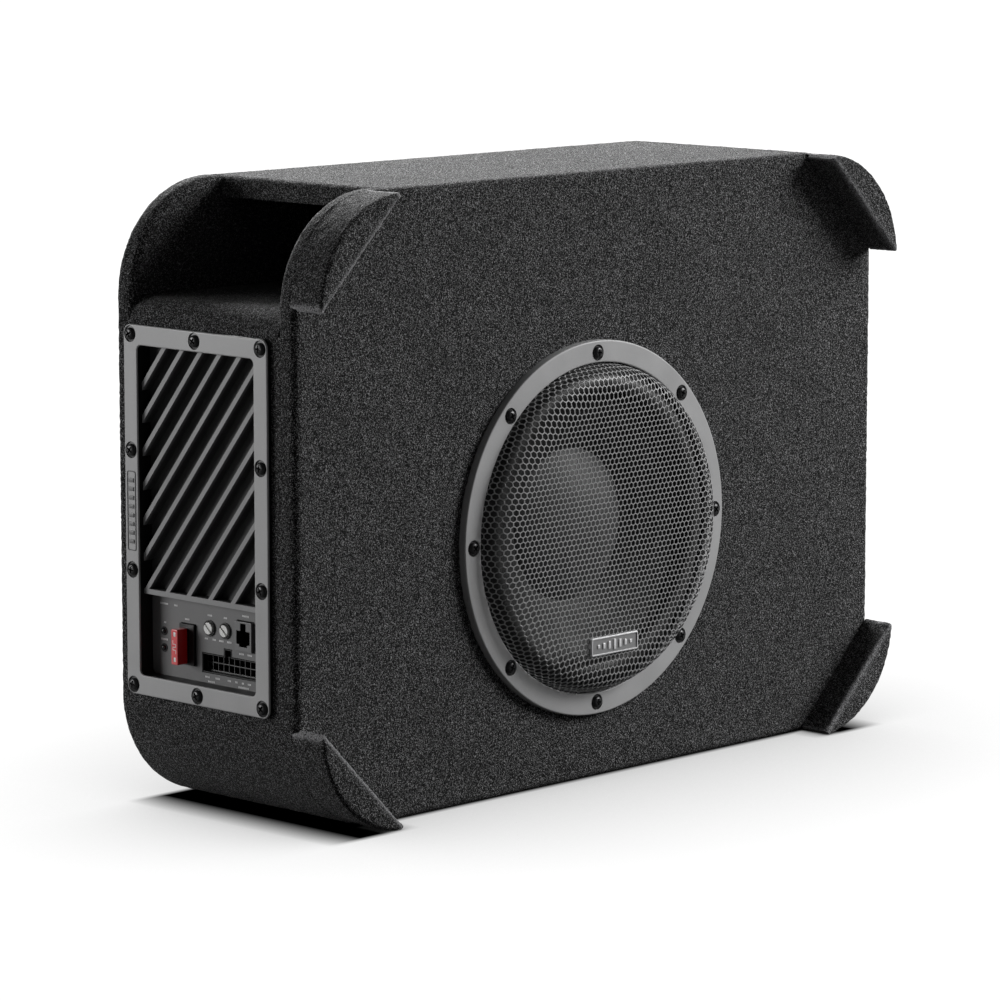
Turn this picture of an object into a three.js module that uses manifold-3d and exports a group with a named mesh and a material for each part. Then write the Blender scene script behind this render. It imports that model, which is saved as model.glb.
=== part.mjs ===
// Powered car subwoofer with a ported cabinet, a grille-covered woofer and a built-in amplifier.
// Millimetres, +Z up. The origin is the middle of the cabinet's underside.
// The woofer looks along -Y and the amplifier is on the -X end.

import * as THREE from "three";
import { mergeVertices } from "three/addons/utils/BufferGeometryUtils.js";
import Module from "manifold-3d";

const manifold = await Module();
manifold.setup();

// ---------- Driving dimensions ----------

const GAP = 0.3; // clearance kept between touching pieces

const CABINET = { width: 463, depth: 138, height: 336, corner: 61 };
const CARPET = 2; // thickness of the carpet skin
const BOARD = { face: 9, top: 9, side: 12 }; // board thicknesses
const PORT = { floor: 275.7, mouthWidth: 65.9, shelfEnd: 140, liningWidth: 130, lining: 1.5 };
const BUMPER = { proud: 19.5, chordShift: 2.1 };

const WOOFER = { x: -7.4, z: 140.2 };
const RING = { inner: 91.5, outer: 103.7, proud: 4.4, plate: 2.8, skirt: 2, screwCircle: 97, screws: 8 };
const FLANGE = { inner: 86, outer: 101.2, thick: 2 };
const HEM = { outer: 100.8, thick: 1 };
const MESH_THICK = 1;
const BADGE = { x: -7.8, z: 77.6, width: 37.5, height: 10, thick: 1.4, corner: 1, proud: 12.5 };

const AMP = { y: 3.8, z: 162, width: 111, height: 199, corner: 5 };
const AMP_OPENING = { width: 90, height: 177.2, corner: 3 };
const BEZEL = { proud: 3, plate: 2.7, sleeveWall: 1.4, play: 0.5 };
const PLATE = { recess: 9.5, thick: 4 }; // heatsink floor below the bezel's face, and its thickness
const FIN = { thick: 2.6, recess: 3.2, angle: 51.2, first: 288.5, pitch: 17.15, growth: 0.23 };
const FINS = { count: 11, play: 0.4 };
const LEDGE = { low: 117.2, high: 120 };
const AMP_SCREWS = { sideY: 50.2, endZ: 94.3, midZ: 32.2 };
const AMP_BODY_DEPTH = 52;

const FUSE = { y: 21.9, z: 91.7, thick: 5.2, height: 19.1, proud: 9.1 };
const FUSE_STEM = { thick: 3, height: 15, length: 2.5 };
const FUSE_BLADE = { thick: 0.8, width: 5.2, end: 8 };
const FUSE_HOLDER = { y: 20.5, z: 92.3, width: 11.4, height: 22, proud: 1.6, depth: 11, well: 9, play: 0.4 };
const LED = { y: 39.6, powerZ: 97.2, protectZ: 88.2, radius: 1.5, proud: 1.6 };
const TRIMMER = { gainY: 3.7, crossoverY: -8.4, z: 103.1, radius: 3.2, proud: 1.7, depth: 7 };
const TRIMMER_SLOT = { width: 0.9, depth: 1, tilt: 41 };
const TRIMMER_SHAFT = { radius: 1.2, hole: 1.6, past: 3 };
const JACK = { y: -23.9, z: 102, width: 12.8, height: 16, proud: 2, well: 9 };
const JACK_WELL = [
  { width: 10, low: 97.9, high: 104.9 }, // plug
  { width: 5.9, low: 96.5, high: 98.5 }, // latch shoulder
  { width: 3.9, low: 104.5, high: 108.9 }, // latch
];
const HEADER = { y: -11.3, z: 84.15, width: 42.4, height: 10.3, lip: 3.5, rimSide: 0.5, rimEnd: 0.6 };
const CELLS = { columns: 10, rows: 2, pitch: 4.14, rowPitch: 4.24, wall: 0.5 };
const LATCH = { y: -10.1, width: 5.8, height: 4, wall: 0.6, past: 2 };
const PCB = { halfWidth: 42, halfHeight: 84, thick: 1.6 };
const COVER = { halfWidth: 44, halfHeight: 86, wall: 1.5 };

const SCREW = { head: 3.8, headHeight: 2.4, crown: 2.6, rim: 0.6, shank: 1.8, length: 13, point: 2, seat: 1.3 };
const SCREW_HOLE = 2.4;
const COUNTERBORE = 4.4;

// ---------- Places worked out from them ----------

const HALF_WIDTH = CABINET.width / 2;
const HALF_DEPTH = CABINET.depth / 2;
const BOARD_INSET = CARPET + GAP;
const FRONT_BOARD_Y = -HALF_DEPTH + BOARD_INSET; // front board's outer face
const INNER_Y = -FRONT_BOARD_Y - BOARD.face - GAP; // half the depth between the two face boards
const ARC_X = HALF_WIDTH - CABINET.corner; // where the flat top and bottom end
const MOUTH_X = -HALF_WIDTH + PORT.mouthWidth; // where the top board stops
const SHELF_TOP = PORT.floor - BOARD_INSET;
const EDGE_ROUND_Z = SHELF_TOP - BOARD.side; // centre height of the port floor's rounded edge
const SIDE_INNER_X = HALF_WIDTH - BOARD_INSET - BOARD.side;
const TOP_BOARD_LOW = CABINET.height - BOARD_INSET - BOARD.top;

const RING_FACE_Y = -HALF_DEPTH - RING.proud;
const RING_BACK_Y = RING_FACE_Y + RING.plate;
const HEM_Y = RING_BACK_Y + GAP;
const FLANGE_Y = FRONT_BOARD_Y - GAP - FLANGE.thick;
const BASKET_HOLE = 89;

const BEZEL_FACE_X = -HALF_WIDTH - BEZEL.proud;
const BEZEL_BACK_X = BEZEL_FACE_X + BEZEL.plate;
const PLATE_X = BEZEL_FACE_X + PLATE.recess;
const PLATE_BACK_X = PLATE_X + PLATE.thick;
const PCB_X = -214;
const COVER_BACK_X = PLATE_BACK_X + GAP + AMP_BODY_DEPTH;

const CIRCLE = 32; // segments of the woofer's round pieces
const RIM_CIRCLE = 48; // segments of the round rims that show
const ARC_STEPS = 6;

// ---------- Materials ----------

const FINISH = {
  carpet: material(0x2e2e2f, 1, 0),
  board: material(0x9a7b55, 0.85, 0),
  trim: material(0x8b8b8c, 0.55, 0.1),
  heatsink: material(0x6f6f71, 0.5, 0.4),
  mesh: material(0x3a3a3c, 0.45, 0.7),
  screw: material(0x111112, 0.35, 0.6),
  paper: material(0x232325, 0.7, 0),
  rubber: material(0x141414, 0.8, 0),
  cloth: material(0xb28a4a, 0.9, 0),
  steel: material(0x8e9196, 0.4, 0.9),
  ferrite: material(0x2f3032, 0.8, 0),
  copper: material(0xb5743c, 0.4, 0.9),
  basket: material(0x1b1b1c, 0.5, 0.5),
  board_green: material(0x1f4a2e, 0.6, 0),
  black_plastic: material(0x121213, 0.5, 0),
  grey_plastic: material(0x77777a, 0.5, 0),
  white_plastic: material(0xe9e9e6, 0.4, 0),
  red_plastic: material(0xc3161c, 0.3, 0),
  lamp: material(0xd8d8d4, 0.2, 0),
  badge: material(0x77787a, 0.35, 0.8),
};

function material(color, roughness, metalness) {
  return new THREE.MeshStandardMaterial({ color, roughness, metalness, flatShading: true });
}

// ---------- Solids ----------

function signedVolume(position, index) {
  const [a, b, c] = [new THREE.Vector3(), new THREE.Vector3(), new THREE.Vector3()];
  let volume = 0;
  for (let i = 0; i < index.count; i += 3) {
    a.fromBufferAttribute(position, index.getX(i));
    b.fromBufferAttribute(position, index.getX(i + 1));
    c.fromBufferAttribute(position, index.getX(i + 2));
    volume += a.dot(b.cross(c)) / 6;
  }
  return volume;
}

// A closed three.js geometry as a solid, with its faces turned outwards.
function solid(geometry) {
  const bare = geometry.clone();
  bare.deleteAttribute("normal");
  bare.deleteAttribute("uv");
  const welded = mergeVertices(bare, 1e-4);
  const triVerts = new Uint32Array(welded.index.array);
  if (signedVolume(welded.attributes.position, welded.index) < 0) {
    triVerts.reverse();
  }
  const vertProperties = new Float32Array(welded.attributes.position.array);
  return new manifold.Manifold(new manifold.Mesh({ numProp: 3, vertProperties, triVerts }));
}

function join(first, ...others) {
  return others.reduce((sum, other) => sum.add(other), first);
}

function cut(first, ...others) {
  return others.reduce((rest, other) => rest.subtract(other), first);
}

function box([x0, x1], [y0, y1], [z0, z1]) {
  const geometry = new THREE.BoxGeometry(x1 - x0, y1 - y0, z1 - z0);
  return solid(geometry.translate((x0 + x1) / 2, (y0 + y1) / 2, (z0 + z1) / 2));
}

// A shape drawn in X and Z, running from y0 to y1.
function prismY(shape, y0, y1) {
  const geometry = new THREE.ExtrudeGeometry(shape, {
    depth: y1 - y0,
    bevelEnabled: false,
    curveSegments: ARC_STEPS,
  });
  return solid(geometry.rotateX(Math.PI / 2).translate(0, y1, 0));
}

// A shape drawn in Y and Z, running from x0 to x1.
function prismX(shape, x0, x1) {
  const geometry = new THREE.ExtrudeGeometry(shape, {
    depth: x1 - x0,
    bevelEnabled: false,
    curveSegments: ARC_STEPS,
  });
  const turn = new THREE.Matrix4().set(0, 0, 1, x0, 1, 0, 0, 0, 0, 1, 0, 0, 0, 0, 0, 1);
  return solid(geometry.applyMatrix4(turn));
}

function rodY(x, z, radius, y0, y1, segments = 6) {
  const geometry = new THREE.CylinderGeometry(radius, radius, y1 - y0, segments);
  return solid(geometry.translate(x, (y0 + y1) / 2, z));
}

function rodX(y, z, radius, x0, x1, segments = 6) {
  const geometry = new THREE.CylinderGeometry(radius, radius, x1 - x0, segments);
  return solid(geometry.rotateZ(Math.PI / 2).translate((x0 + x1) / 2, y, z));
}

// A closed profile of [radius, y] points turned about the woofer's axis.
function turned(points, segments = CIRCLE) {
  const profile = points.map(([radius, y]) => new THREE.Vector2(radius, y));
  const first = profile[0];
  const last = profile[profile.length - 1];
  if (first.x > 0 && !first.equals(last)) {
    profile.push(first.clone());
  }
  return solid(new THREE.LatheGeometry(profile, segments)).translate([WOOFER.x, 0, WOOFER.z]);
}

// A rectangle centred on (u, v), with rounded corners.
function roundedRect(u, v, width, height, radius) {
  const [left, right] = [u - width / 2, u + width / 2];
  const [low, high] = [v - height / 2, v + height / 2];
  const shape = new THREE.Shape();
  shape.absarc(right - radius, low + radius, radius, -Math.PI / 2, 0);
  shape.absarc(right - radius, high - radius, radius, 0, Math.PI / 2);
  shape.absarc(left + radius, high - radius, radius, Math.PI / 2, Math.PI);
  shape.absarc(left + radius, low + radius, radius, Math.PI, 1.5 * Math.PI);
  shape.closePath();
  return shape;
}

function cabinetOutline(inset) {
  const width = CABINET.width - 2 * inset;
  const height = CABINET.height - 2 * inset;
  return roundedRect(0, CABINET.height / 2, width, height, CABINET.corner - inset);
}

// The cabinet's hoop between two insets, from y0 to y1.
function hoop(outerInset, innerInset, y0, y1) {
  return cut(prismY(cabinetOutline(outerInset), y0, y1), prismY(cabinetOutline(innerInset), y0 - 1, y1 + 1));
}

function mesh(name, shape, finish) {
  const data = shape.getMesh();
  const geometry = new THREE.BufferGeometry();
  geometry.setAttribute("position", new THREE.BufferAttribute(new Float32Array(data.vertProperties), 3));
  geometry.setIndex(new THREE.BufferAttribute(new Uint32Array(data.triVerts), 1));
  geometry.computeVertexNormals();
  const part = new THREE.Mesh(geometry, finish);
  part.name = name;
  return part;
}

// ---------- Screw places ----------

const ringScrews = Array.from({ length: RING.screws }, (_, i) => {
  const turn = (i * 2 * Math.PI) / RING.screws;
  return { x: WOOFER.x + RING.screwCircle * Math.sin(turn), z: WOOFER.z + RING.screwCircle * Math.cos(turn) };
});

const bezelScrews = [];
for (const row of [AMP_SCREWS.endZ, AMP_SCREWS.midZ, -AMP_SCREWS.midZ, -AMP_SCREWS.endZ]) {
  for (const column of [-1, 0, 1]) {
    const onOpening = column === 0 && Math.abs(row) === AMP_SCREWS.midZ;
    if (!onOpening) {
      bezelScrews.push({ y: AMP.y + column * AMP_SCREWS.sideY, z: AMP.z + row });
    }
  }
}

function ringHoles(radius, y0, y1, segments) {
  return ringScrews.map(({ x, z }) => rodY(x, z, radius, y0, y1, segments));
}

function bezelHoles(radius, x0, x1, segments) {
  return bezelScrews.map(({ y, z }) => rodX(y, z, radius, x0, x1, segments));
}

// ---------- Cabinet boards ----------

function boards(group) {
  const yBack = FRONT_BOARD_Y + BOARD.face;
  const wooferHole = rodY(WOOFER.x, WOOFER.z, BASKET_HOLE, -HALF_DEPTH, 0, RIM_CIRCLE);
  const front = cut(
    prismY(cabinetOutline(BOARD_INSET), FRONT_BOARD_Y, yBack),
    wooferHole,
    ...ringHoles(SCREW_HOLE, -HALF_DEPTH, 0),
  );
  group.add(mesh("front_baffle", front, FINISH.board));
  const back = prismY(cabinetOutline(BOARD_INSET), -yBack, -FRONT_BOARD_Y);
  group.add(mesh("back_panel", back, FINISH.board));

  const thickHoop = hoop(BOARD_INSET, BOARD_INSET + BOARD.side, -INNER_Y, INNER_Y);
  const across = [-CABINET.depth, CABINET.depth];
  const bottom = thickHoop.intersect(box([-ARC_X, ARC_X], across, [-1, CABINET.height / 2]));
  group.add(mesh("bottom_panel", bottom, FINISH.board));

  const right = thickHoop.intersect(box([ARC_X + GAP, HALF_WIDTH], across, [-1, CABINET.height]));
  group.add(mesh("right_panel", right, FINISH.board));

  const topEnds = [MOUTH_X + BOARD_INSET, ARC_X];
  const top = box(topEnds, [-INNER_Y, INNER_Y], [TOP_BOARD_LOW, CABINET.height - BOARD_INSET]);
  group.add(mesh("top_panel", top, FINISH.board));

  const lower = thickHoop.intersect(box([-HALF_WIDTH, -ARC_X - GAP], across, [-1, EDGE_ROUND_Z]));
  const roundEdge = rodY(-SIDE_INNER_X, EDGE_ROUND_Z, BOARD.side, -INNER_Y, INNER_Y, 32);
  const quarter = roundEdge.intersect(box([-HALF_WIDTH, -SIDE_INNER_X], across, [EDGE_ROUND_Z - 1, SHELF_TOP]));
  const pilots = bezelHoles(SCREW_HOLE, -HALF_WIDTH, -SIDE_INNER_X + 1);
  const left = cut(join(lower, quarter), ampCutOut(), ...pilots);
  group.add(mesh("left_panel", left, FINISH.board));

  const shelfLow = SHELF_TOP - BOARD.face;
  const shelf = box([-SIDE_INNER_X + GAP, PORT.shelfEnd], [-INNER_Y, INNER_Y], [shelfLow, SHELF_TOP]);
  group.add(mesh("port_shelf", shelf, FINISH.board));
}

// The hole in the left end that the amplifier goes through.
function ampCutOut() {
  const around = 2 * (BEZEL.sleeveWall + BEZEL.play);
  const { width, height, corner } = AMP_OPENING;
  const shape = roundedRect(AMP.y, AMP.z, width + around, height + around, corner);
  return prismX(shape, -HALF_WIDTH - 1, -SIDE_INNER_X + 1);
}

// ---------- Carpet ----------

function carpets(group) {
  const skirtHole = rodY(WOOFER.x, WOOFER.z, RING.outer + GAP, -CABINET.depth, 0, RIM_CIRCLE);
  const faceSkin = prismY(cabinetOutline(0), -HALF_DEPTH, -HALF_DEPTH + CARPET);
  const lip = portLip();
  group.add(mesh("carpet_front", cut(join(faceSkin, lip), skirtHole), FINISH.carpet));
  const back = join(faceSkin, lip).mirror([0, 1, 0]);
  group.add(mesh("carpet_back", back, FINISH.carpet));

  const hoopY = HALF_DEPTH - BOARD_INSET;
  const skin = hoop(0, CARPET, -hoopY, hoopY);
  const across = [-CABINET.depth, CABINET.depth];
  const bottom = skin.intersect(box([-ARC_X, ARC_X], across, [-1, CABINET.height / 2]));
  group.add(mesh("carpet_bottom", bottom, FINISH.carpet));

  const right = skin.intersect(box([ARC_X + GAP, HALF_WIDTH], across, [-1, CABINET.height + 1]));
  group.add(mesh("carpet_right", right, FINISH.carpet));

  const top = skin.intersect(box([MOUTH_X, ARC_X], across, [CABINET.height / 2, CABINET.height + 1]));
  const overTurn = box(
    [MOUTH_X, MOUTH_X + CARPET],
    [-INNER_Y + PORT.lining, INNER_Y - PORT.lining],
    [TOP_BOARD_LOW, CABINET.height - 1],
  );
  group.add(mesh("carpet_top", join(top, overTurn), FINISH.carpet));

  group.add(mesh("carpet_left", leftCarpet(skin), FINISH.carpet));
}

// The front skin's return over the board's edge and into the port.
function portLip() {
  const liningY = -INNER_Y + PORT.lining;
  const edge = hoop(0, CARPET, -HALF_DEPTH, -INNER_Y);
  const edgeZone = box([-HALF_WIDTH, MOUTH_X - GAP], [-CABINET.depth, 0], [EDGE_ROUND_Z + GAP, CABINET.height]);
  const lining = prismY(cabinetOutline(0), -INNER_Y, liningY);
  const mouthZone = box([-HALF_WIDTH, MOUTH_X - GAP], [-CABINET.depth, 0], [PORT.floor + GAP, CABINET.height]);
  const liningEnd = -HALF_WIDTH + PORT.liningWidth;
  const innerZone = box([MOUTH_X - 1, liningEnd], [-CABINET.depth, 0], [PORT.floor + GAP, TOP_BOARD_LOW - GAP]);
  return join(edge.intersect(edgeZone), lining.intersect(join(mouthZone, innerZone)));
}

// The end skin runs up the left face, round the edge and along the port's floor.
function leftCarpet(skin) {
  const floorEnd = -HALF_WIDTH + PORT.liningWidth;
  const across = [-CABINET.depth, CABINET.depth];
  const face = skin.intersect(box([-HALF_WIDTH, -ARC_X - GAP], across, [-1, EDGE_ROUND_Z]));
  const edgeY = INNER_Y;
  const outer = rodY(-SIDE_INNER_X, EDGE_ROUND_Z, BOARD.side + BOARD_INSET, -edgeY, edgeY, 32);
  const inner = rodY(-SIDE_INNER_X, EDGE_ROUND_Z, BOARD.side + GAP, -CABINET.depth, CABINET.depth, 32);
  const quarterZone = box([-HALF_WIDTH, -SIDE_INNER_X], across, [EDGE_ROUND_Z - 0.5, CABINET.height]);
  const quarter = cut(outer, inner).intersect(quarterZone);
  const floor = box([-SIDE_INNER_X - 0.5, floorEnd], [-edgeY, edgeY], [PORT.floor - CARPET, PORT.floor]);
  const pilots = bezelHoles(SCREW_HOLE, -HALF_WIDTH - 1, -SIDE_INNER_X);
  return cut(join(face, quarter, floor), ampCutOut(), ...pilots);
}

// ---------- Corner bumpers ----------

// The piece of the rounded corner outside a 45 degree chord, standing on the front face.
function bumpers(group) {
  const inset = CABINET.corner - BUMPER.chordShift * Math.SQRT2;
  const centreZ = CABINET.height / 2;
  const corners = { top_left: [-1, 1], top_right: [1, 1], bottom_left: [-1, -1], bottom_right: [1, -1] };
  for (const [corner, [sideX, sideZ]] of Object.entries(corners)) {
    const cornerX = sideX * HALF_WIDTH;
    const cornerZ = centreZ + (sideZ * CABINET.height) / 2;
    const reach = CABINET.corner;
    const triangle = new THREE.Shape();
    triangle.moveTo(cornerX + sideX * reach, cornerZ - sideZ * (inset + reach));
    triangle.lineTo(cornerX + sideX * reach, cornerZ + sideZ * reach);
    triangle.lineTo(cornerX - sideX * (inset + reach), cornerZ + sideZ * reach);
    triangle.closePath();
    const y1 = -HALF_DEPTH - GAP;
    const y0 = -HALF_DEPTH - BUMPER.proud;
    const block = prismY(cabinetOutline(0), y0, y1).intersect(prismY(triangle, y0 - 1, y1 + 1));
    group.add(mesh(`bumper_${corner}`, block, FINISH.carpet));
  }
}

// ---------- Woofer ----------

const CONE = { rimRadius: 73.7, rimY: -69, neckRadius: 20.8, neckY: -37.5, thick: 1.2 };
const CAP_SEAT = { radius: 42, y: -50 };
const DOME = { height: 12, thick: 1, steps: 4 };
const SURROUND = { rollRadius: 6, rollCentre: 80, inner: 71, outer: 89.6, thick: 1 };
const SPIDER = { y: -31, inner: 21.1, outer: 56, thick: 1, waves: 2, height: 2.5 };
const COIL = { outer: 20.5, inner: 19.3, end: 13 };
const BASKET = {
  neck: 88, // outer radius behind the flange
  neckEnd: -56,
  waist: 61,
  waistY: -27,
  ledge: 55, // inner radius of the spider's ledge
  seatOuter: 50,
  seatInner: 26,
  seatThick: 3,
  wall: 2.4,
  windows: 6,
};
const BASKET_WINDOW = { width: 34, height: 20, depth: 60, y: -42 };
const MOTOR = { plateY: 4.6, plateThick: 6, magnetThick: 17, yokeThick: 6 };
const MOTOR_RADIUS = { gap: 22.3, plate: 52, magnetHole: 30, magnet: 62, yoke: 55, pole: 18 };

function woofer(group) {
  group.add(mesh("basket", basketSolid(), FINISH.basket));
  group.add(mesh("surround", surroundSolid(), FINISH.rubber));
  group.add(mesh("cone", coneSolid(), FINISH.paper));
  group.add(mesh("dust_cap", dustCapSolid(), FINISH.paper));
  group.add(mesh("spider", spiderSolid(), FINISH.cloth));
  const coil = turned([
    [COIL.inner, CONE.neckY - 2],
    [COIL.outer, CONE.neckY - 2],
    [COIL.outer, COIL.end],
    [COIL.inner, COIL.end],
  ]);
  group.add(mesh("voice_coil", coil, FINISH.copper));
  motor(group);
}

function motor(group) {
  const plateEnd = MOTOR.plateY + MOTOR.plateThick;
  const magnetEnd = plateEnd + GAP + MOTOR.magnetThick;
  const yokeY = magnetEnd + GAP;
  const plate = turned([
    [MOTOR_RADIUS.gap, MOTOR.plateY],
    [MOTOR_RADIUS.plate, MOTOR.plateY],
    [MOTOR_RADIUS.plate, plateEnd],
    [MOTOR_RADIUS.gap, plateEnd],
  ]);
  group.add(mesh("top_plate", plate, FINISH.steel));
  const magnet = turned([
    [MOTOR_RADIUS.magnetHole, plateEnd + GAP],
    [MOTOR_RADIUS.magnet, plateEnd + GAP],
    [MOTOR_RADIUS.magnet, magnetEnd],
    [MOTOR_RADIUS.magnetHole, magnetEnd],
  ]);
  group.add(mesh("magnet", magnet, FINISH.ferrite));
  const yoke = turned([
    [0, MOTOR.plateY],
    [MOTOR_RADIUS.pole, MOTOR.plateY],
    [MOTOR_RADIUS.pole, yokeY],
    [MOTOR_RADIUS.yoke, yokeY],
    [MOTOR_RADIUS.yoke, yokeY + MOTOR.yokeThick],
    [0, yokeY + MOTOR.yokeThick],
  ]);
  group.add(mesh("yoke", yoke, FINISH.steel));
}

// Cast frame: flange, slanted wall with six windows, a ledge for the spider and a seat for the top plate.
function basketSolid() {
  const seatEnd = MOTOR.plateY - GAP;
  const seatStart = seatEnd - BASKET.seatThick;
  const flangeEnd = FLANGE_Y + FLANGE.thick;
  const wall = turned([
    [FLANGE.inner, FLANGE_Y],
    [FLANGE.outer, FLANGE_Y],
    [FLANGE.outer, flangeEnd],
    [BASKET.neck, flangeEnd],
    [BASKET.neck, BASKET.neckEnd],
    [BASKET.waist, BASKET.waistY],
    [BASKET.seatOuter, seatEnd],
    [BASKET.seatInner, seatEnd],
    [BASKET.seatInner, seatStart],
    [BASKET.seatOuter - BASKET.wall, seatStart],
    [BASKET.ledge + 2, SPIDER.y + 2.5],
    [BASKET.ledge, SPIDER.y + 0.8],
    [BASKET.ledge + 2, SPIDER.y - 0.8],
    [FLANGE.inner, BASKET.neckEnd - 1],
  ]);
  const windows = [];
  for (let i = 0; i < BASKET.windows; i += 1) {
    const turn = ((i + 0.5) * 2 * Math.PI) / BASKET.windows;
    const { width, height, depth } = BASKET_WINDOW;
    const geometry = new THREE.BoxGeometry(width, height, depth).translate(0, BASKET_WINDOW.y, depth);
    windows.push(solid(geometry.rotateY(turn)).translate([WOOFER.x, 0, WOOFER.z]));
  }
  return cut(wall, ...windows, ...ringHoles(SCREW_HOLE, FLANGE_Y - 1, FRONT_BOARD_Y));
}

function coneSolid() {
  const t = CONE.thick;
  return turned([
    [CONE.neckRadius, CONE.neckY],
    [CAP_SEAT.radius, CAP_SEAT.y],
    [70, CONE.rimY],
    [CONE.rimRadius, CONE.rimY],
    [CONE.rimRadius, CONE.rimY + t],
    [70.6, CONE.rimY + t],
    [CAP_SEAT.radius + 0.8, CAP_SEAT.y + t],
    [CONE.neckRadius, CONE.neckY + 1.5 * t],
  ]);
}

function dustCapSolid() {
  const seatY = CAP_SEAT.y - 2 * GAP;
  const { steps, height } = DOME;
  const dome = [];
  for (let i = 0; i <= steps; i += 1) {
    const part = i / steps;
    dome.push([CAP_SEAT.radius * (1 - part), seatY - height * (1 - (1 - part) ** 2)]);
  }
  const under = dome.map(([radius, y]) => [Math.max(radius - DOME.thick, 0), y + 1.1 * DOME.thick]).reverse();
  return turned([...dome, ...under]);
}

function surroundSolid() {
  const { rollRadius, rollCentre, inner, outer, thick } = SURROUND;
  const seatY = CONE.rimY - GAP;
  const roll = (radius) =>
    Array.from({ length: 5 }, (_, i) => {
      const turn = (i * Math.PI) / 4;
      return [rollCentre - radius * Math.cos(turn), seatY - thick - (radius - thick) * Math.sin(turn)];
    });
  const front = [[inner, seatY - thick], ...roll(rollRadius), [outer, seatY - thick]];
  const back = [[outer, seatY], ...roll(rollRadius).reverse().map(([r, y]) => [r, y + thick]), [inner, seatY]];
  return turned([...front, ...back]);
}

function spiderSolid() {
  const steps = SPIDER.waves * 2;
  const front = [];
  for (let i = 0; i <= steps; i += 1) {
    const radius = SPIDER.inner + ((SPIDER.outer - 1.5 - SPIDER.inner) * i) / steps;
    front.push([radius, SPIDER.y - SPIDER.height * (i % 2)]);
  }
  const back = front.map(([radius, y]) => [radius, y + SPIDER.thick]).reverse();
  return turned([...front, ...back]);
}

// ---------- Grille ----------

function grille(group) {
  const skirtInner = RING.outer - RING.skirt;
  const ring = turned([
    [RING.inner, RING_BACK_Y],
    [RING.inner, RING_FACE_Y + 0.6],
    [RING.inner + 0.6, RING_FACE_Y],
    [RING.outer - 1.2, RING_FACE_Y],
    [RING.outer, RING_FACE_Y + 1.2],
    [RING.outer, FRONT_BOARD_Y - GAP],
    [skirtInner, FRONT_BOARD_Y - GAP],
    [skirtInner, RING_BACK_Y],
  ], RIM_CIRCLE);
  const bores = ringHoles(COUNTERBORE, RING_FACE_Y - 1, RING_FACE_Y + SCREW.seat, 8);
  const holes = ringHoles(SCREW_HOLE, RING_FACE_Y - 1, FRONT_BOARD_Y);
  group.add(mesh("grille_ring", cut(ring, ...bores, ...holes), FINISH.trim));

  const dome = turned(domeProfile(), RIM_CIRCLE);
  const hemHoles = ringHoles(SCREW_HOLE, HEM_Y - 1, HEM_Y + HEM.thick + 1);
  group.add(mesh("grille_mesh", cut(dome, ...hemHoles), FINISH.mesh));

  const badgeY = RING_FACE_Y - BADGE.proud;
  const badgeShape = roundedRect(BADGE.x, BADGE.z, BADGE.width, BADGE.height, BADGE.corner);
  const plate = prismY(badgeShape, badgeY - BADGE.thick, badgeY);
  group.add(mesh("badge", plate, FINISH.badge));
}

// Flat hem under the ring, a steep wall and a shallow dome, as one pressed sheet.
function domeProfile() {
  const face = RING_FACE_Y;
  const outside = [
    [HEM.outer, HEM_Y],
    [91.1, HEM_Y],
    [90.9, face],
    [89.6, face - 4.1],
    [86.5, face - 8.8],
    [82.5, face - 11],
    [72, face - 12],
    [0, face - 12.8],
  ];
  const inside = [
    [0, face - 12.8 + MESH_THICK],
    [71.8, face - 12 + MESH_THICK],
    [82, face - 10.9 + MESH_THICK],
    [85.7, face - 8.1],
    [88.6, face - 3.7],
    [90, HEM_Y + HEM.thick],
    [HEM.outer, HEM_Y + HEM.thick],
    [HEM.outer, HEM_Y],
  ];
  return [...outside, ...inside];
}

// ---------- Amplifier ----------

function amplifier(group) {
  group.add(mesh("amp_bezel", bezelSolid(), FINISH.trim));
  group.add(mesh("heatsink", heatsinkSolid(), FINISH.heatsink));
  group.add(mesh("control_plate", controlPlateSolid(), FINISH.heatsink));
  const board = cut(
    block([PCB_X, PCB_X + PCB.thick], AMP, 2 * PCB.halfWidth, 2 * PCB.halfHeight),
    ...trimmerRods(TRIMMER_SHAFT.hole, PCB_X - 1, PCB_X + PCB.thick + 1),
  );
  group.add(mesh("amp_pcb", board, FINISH.board_green));
  group.add(mesh("amp_cover", coverSolid(), FINISH.basket));
  controls(group);
}

function trimmerRods(radius, x0, x1) {
  return [TRIMMER.gainY, TRIMMER.crossoverY].map((y) => rodX(y, TRIMMER.z, radius, x0, x1, 16));
}

function bezelSolid() {
  const around = 2 * BEZEL.sleeveWall;
  const { width, height, corner } = AMP_OPENING;
  const frameShape = roundedRect(AMP.y, AMP.z, AMP.width, AMP.height, AMP.corner);
  const frame = prismX(frameShape, BEZEL_FACE_X, BEZEL_BACK_X);
  const sleeveShape = roundedRect(AMP.y, AMP.z, width + around, height + around, corner);
  const sleeve = prismX(sleeveShape, BEZEL_BACK_X - 1, PLATE_X - GAP);
  const opening = prismX(roundedRect(AMP.y, AMP.z, width, height, corner), BEZEL_FACE_X - 1, PLATE_X);
  const bores = bezelHoles(COUNTERBORE, BEZEL_FACE_X - 1, BEZEL_FACE_X + SCREW.seat, 8);
  const holes = bezelHoles(SCREW_HOLE, BEZEL_FACE_X - 1, BEZEL_BACK_X + 1);
  return cut(join(frame, sleeve), opening, ...bores, ...holes);
}

// The floor that the fins and the controls stand on, between two heights.
function ampFloor(low, high) {
  const { width, height, corner } = AMP_OPENING;
  const shape = roundedRect(AMP.y, AMP.z, width + 2, height + 2, corner);
  const band = box([PLATE_X - 1, PLATE_BACK_X + 1], [AMP.y - width, AMP.y + width], [low, high]);
  return prismX(shape, PLATE_X, PLATE_BACK_X).intersect(band);
}

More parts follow.
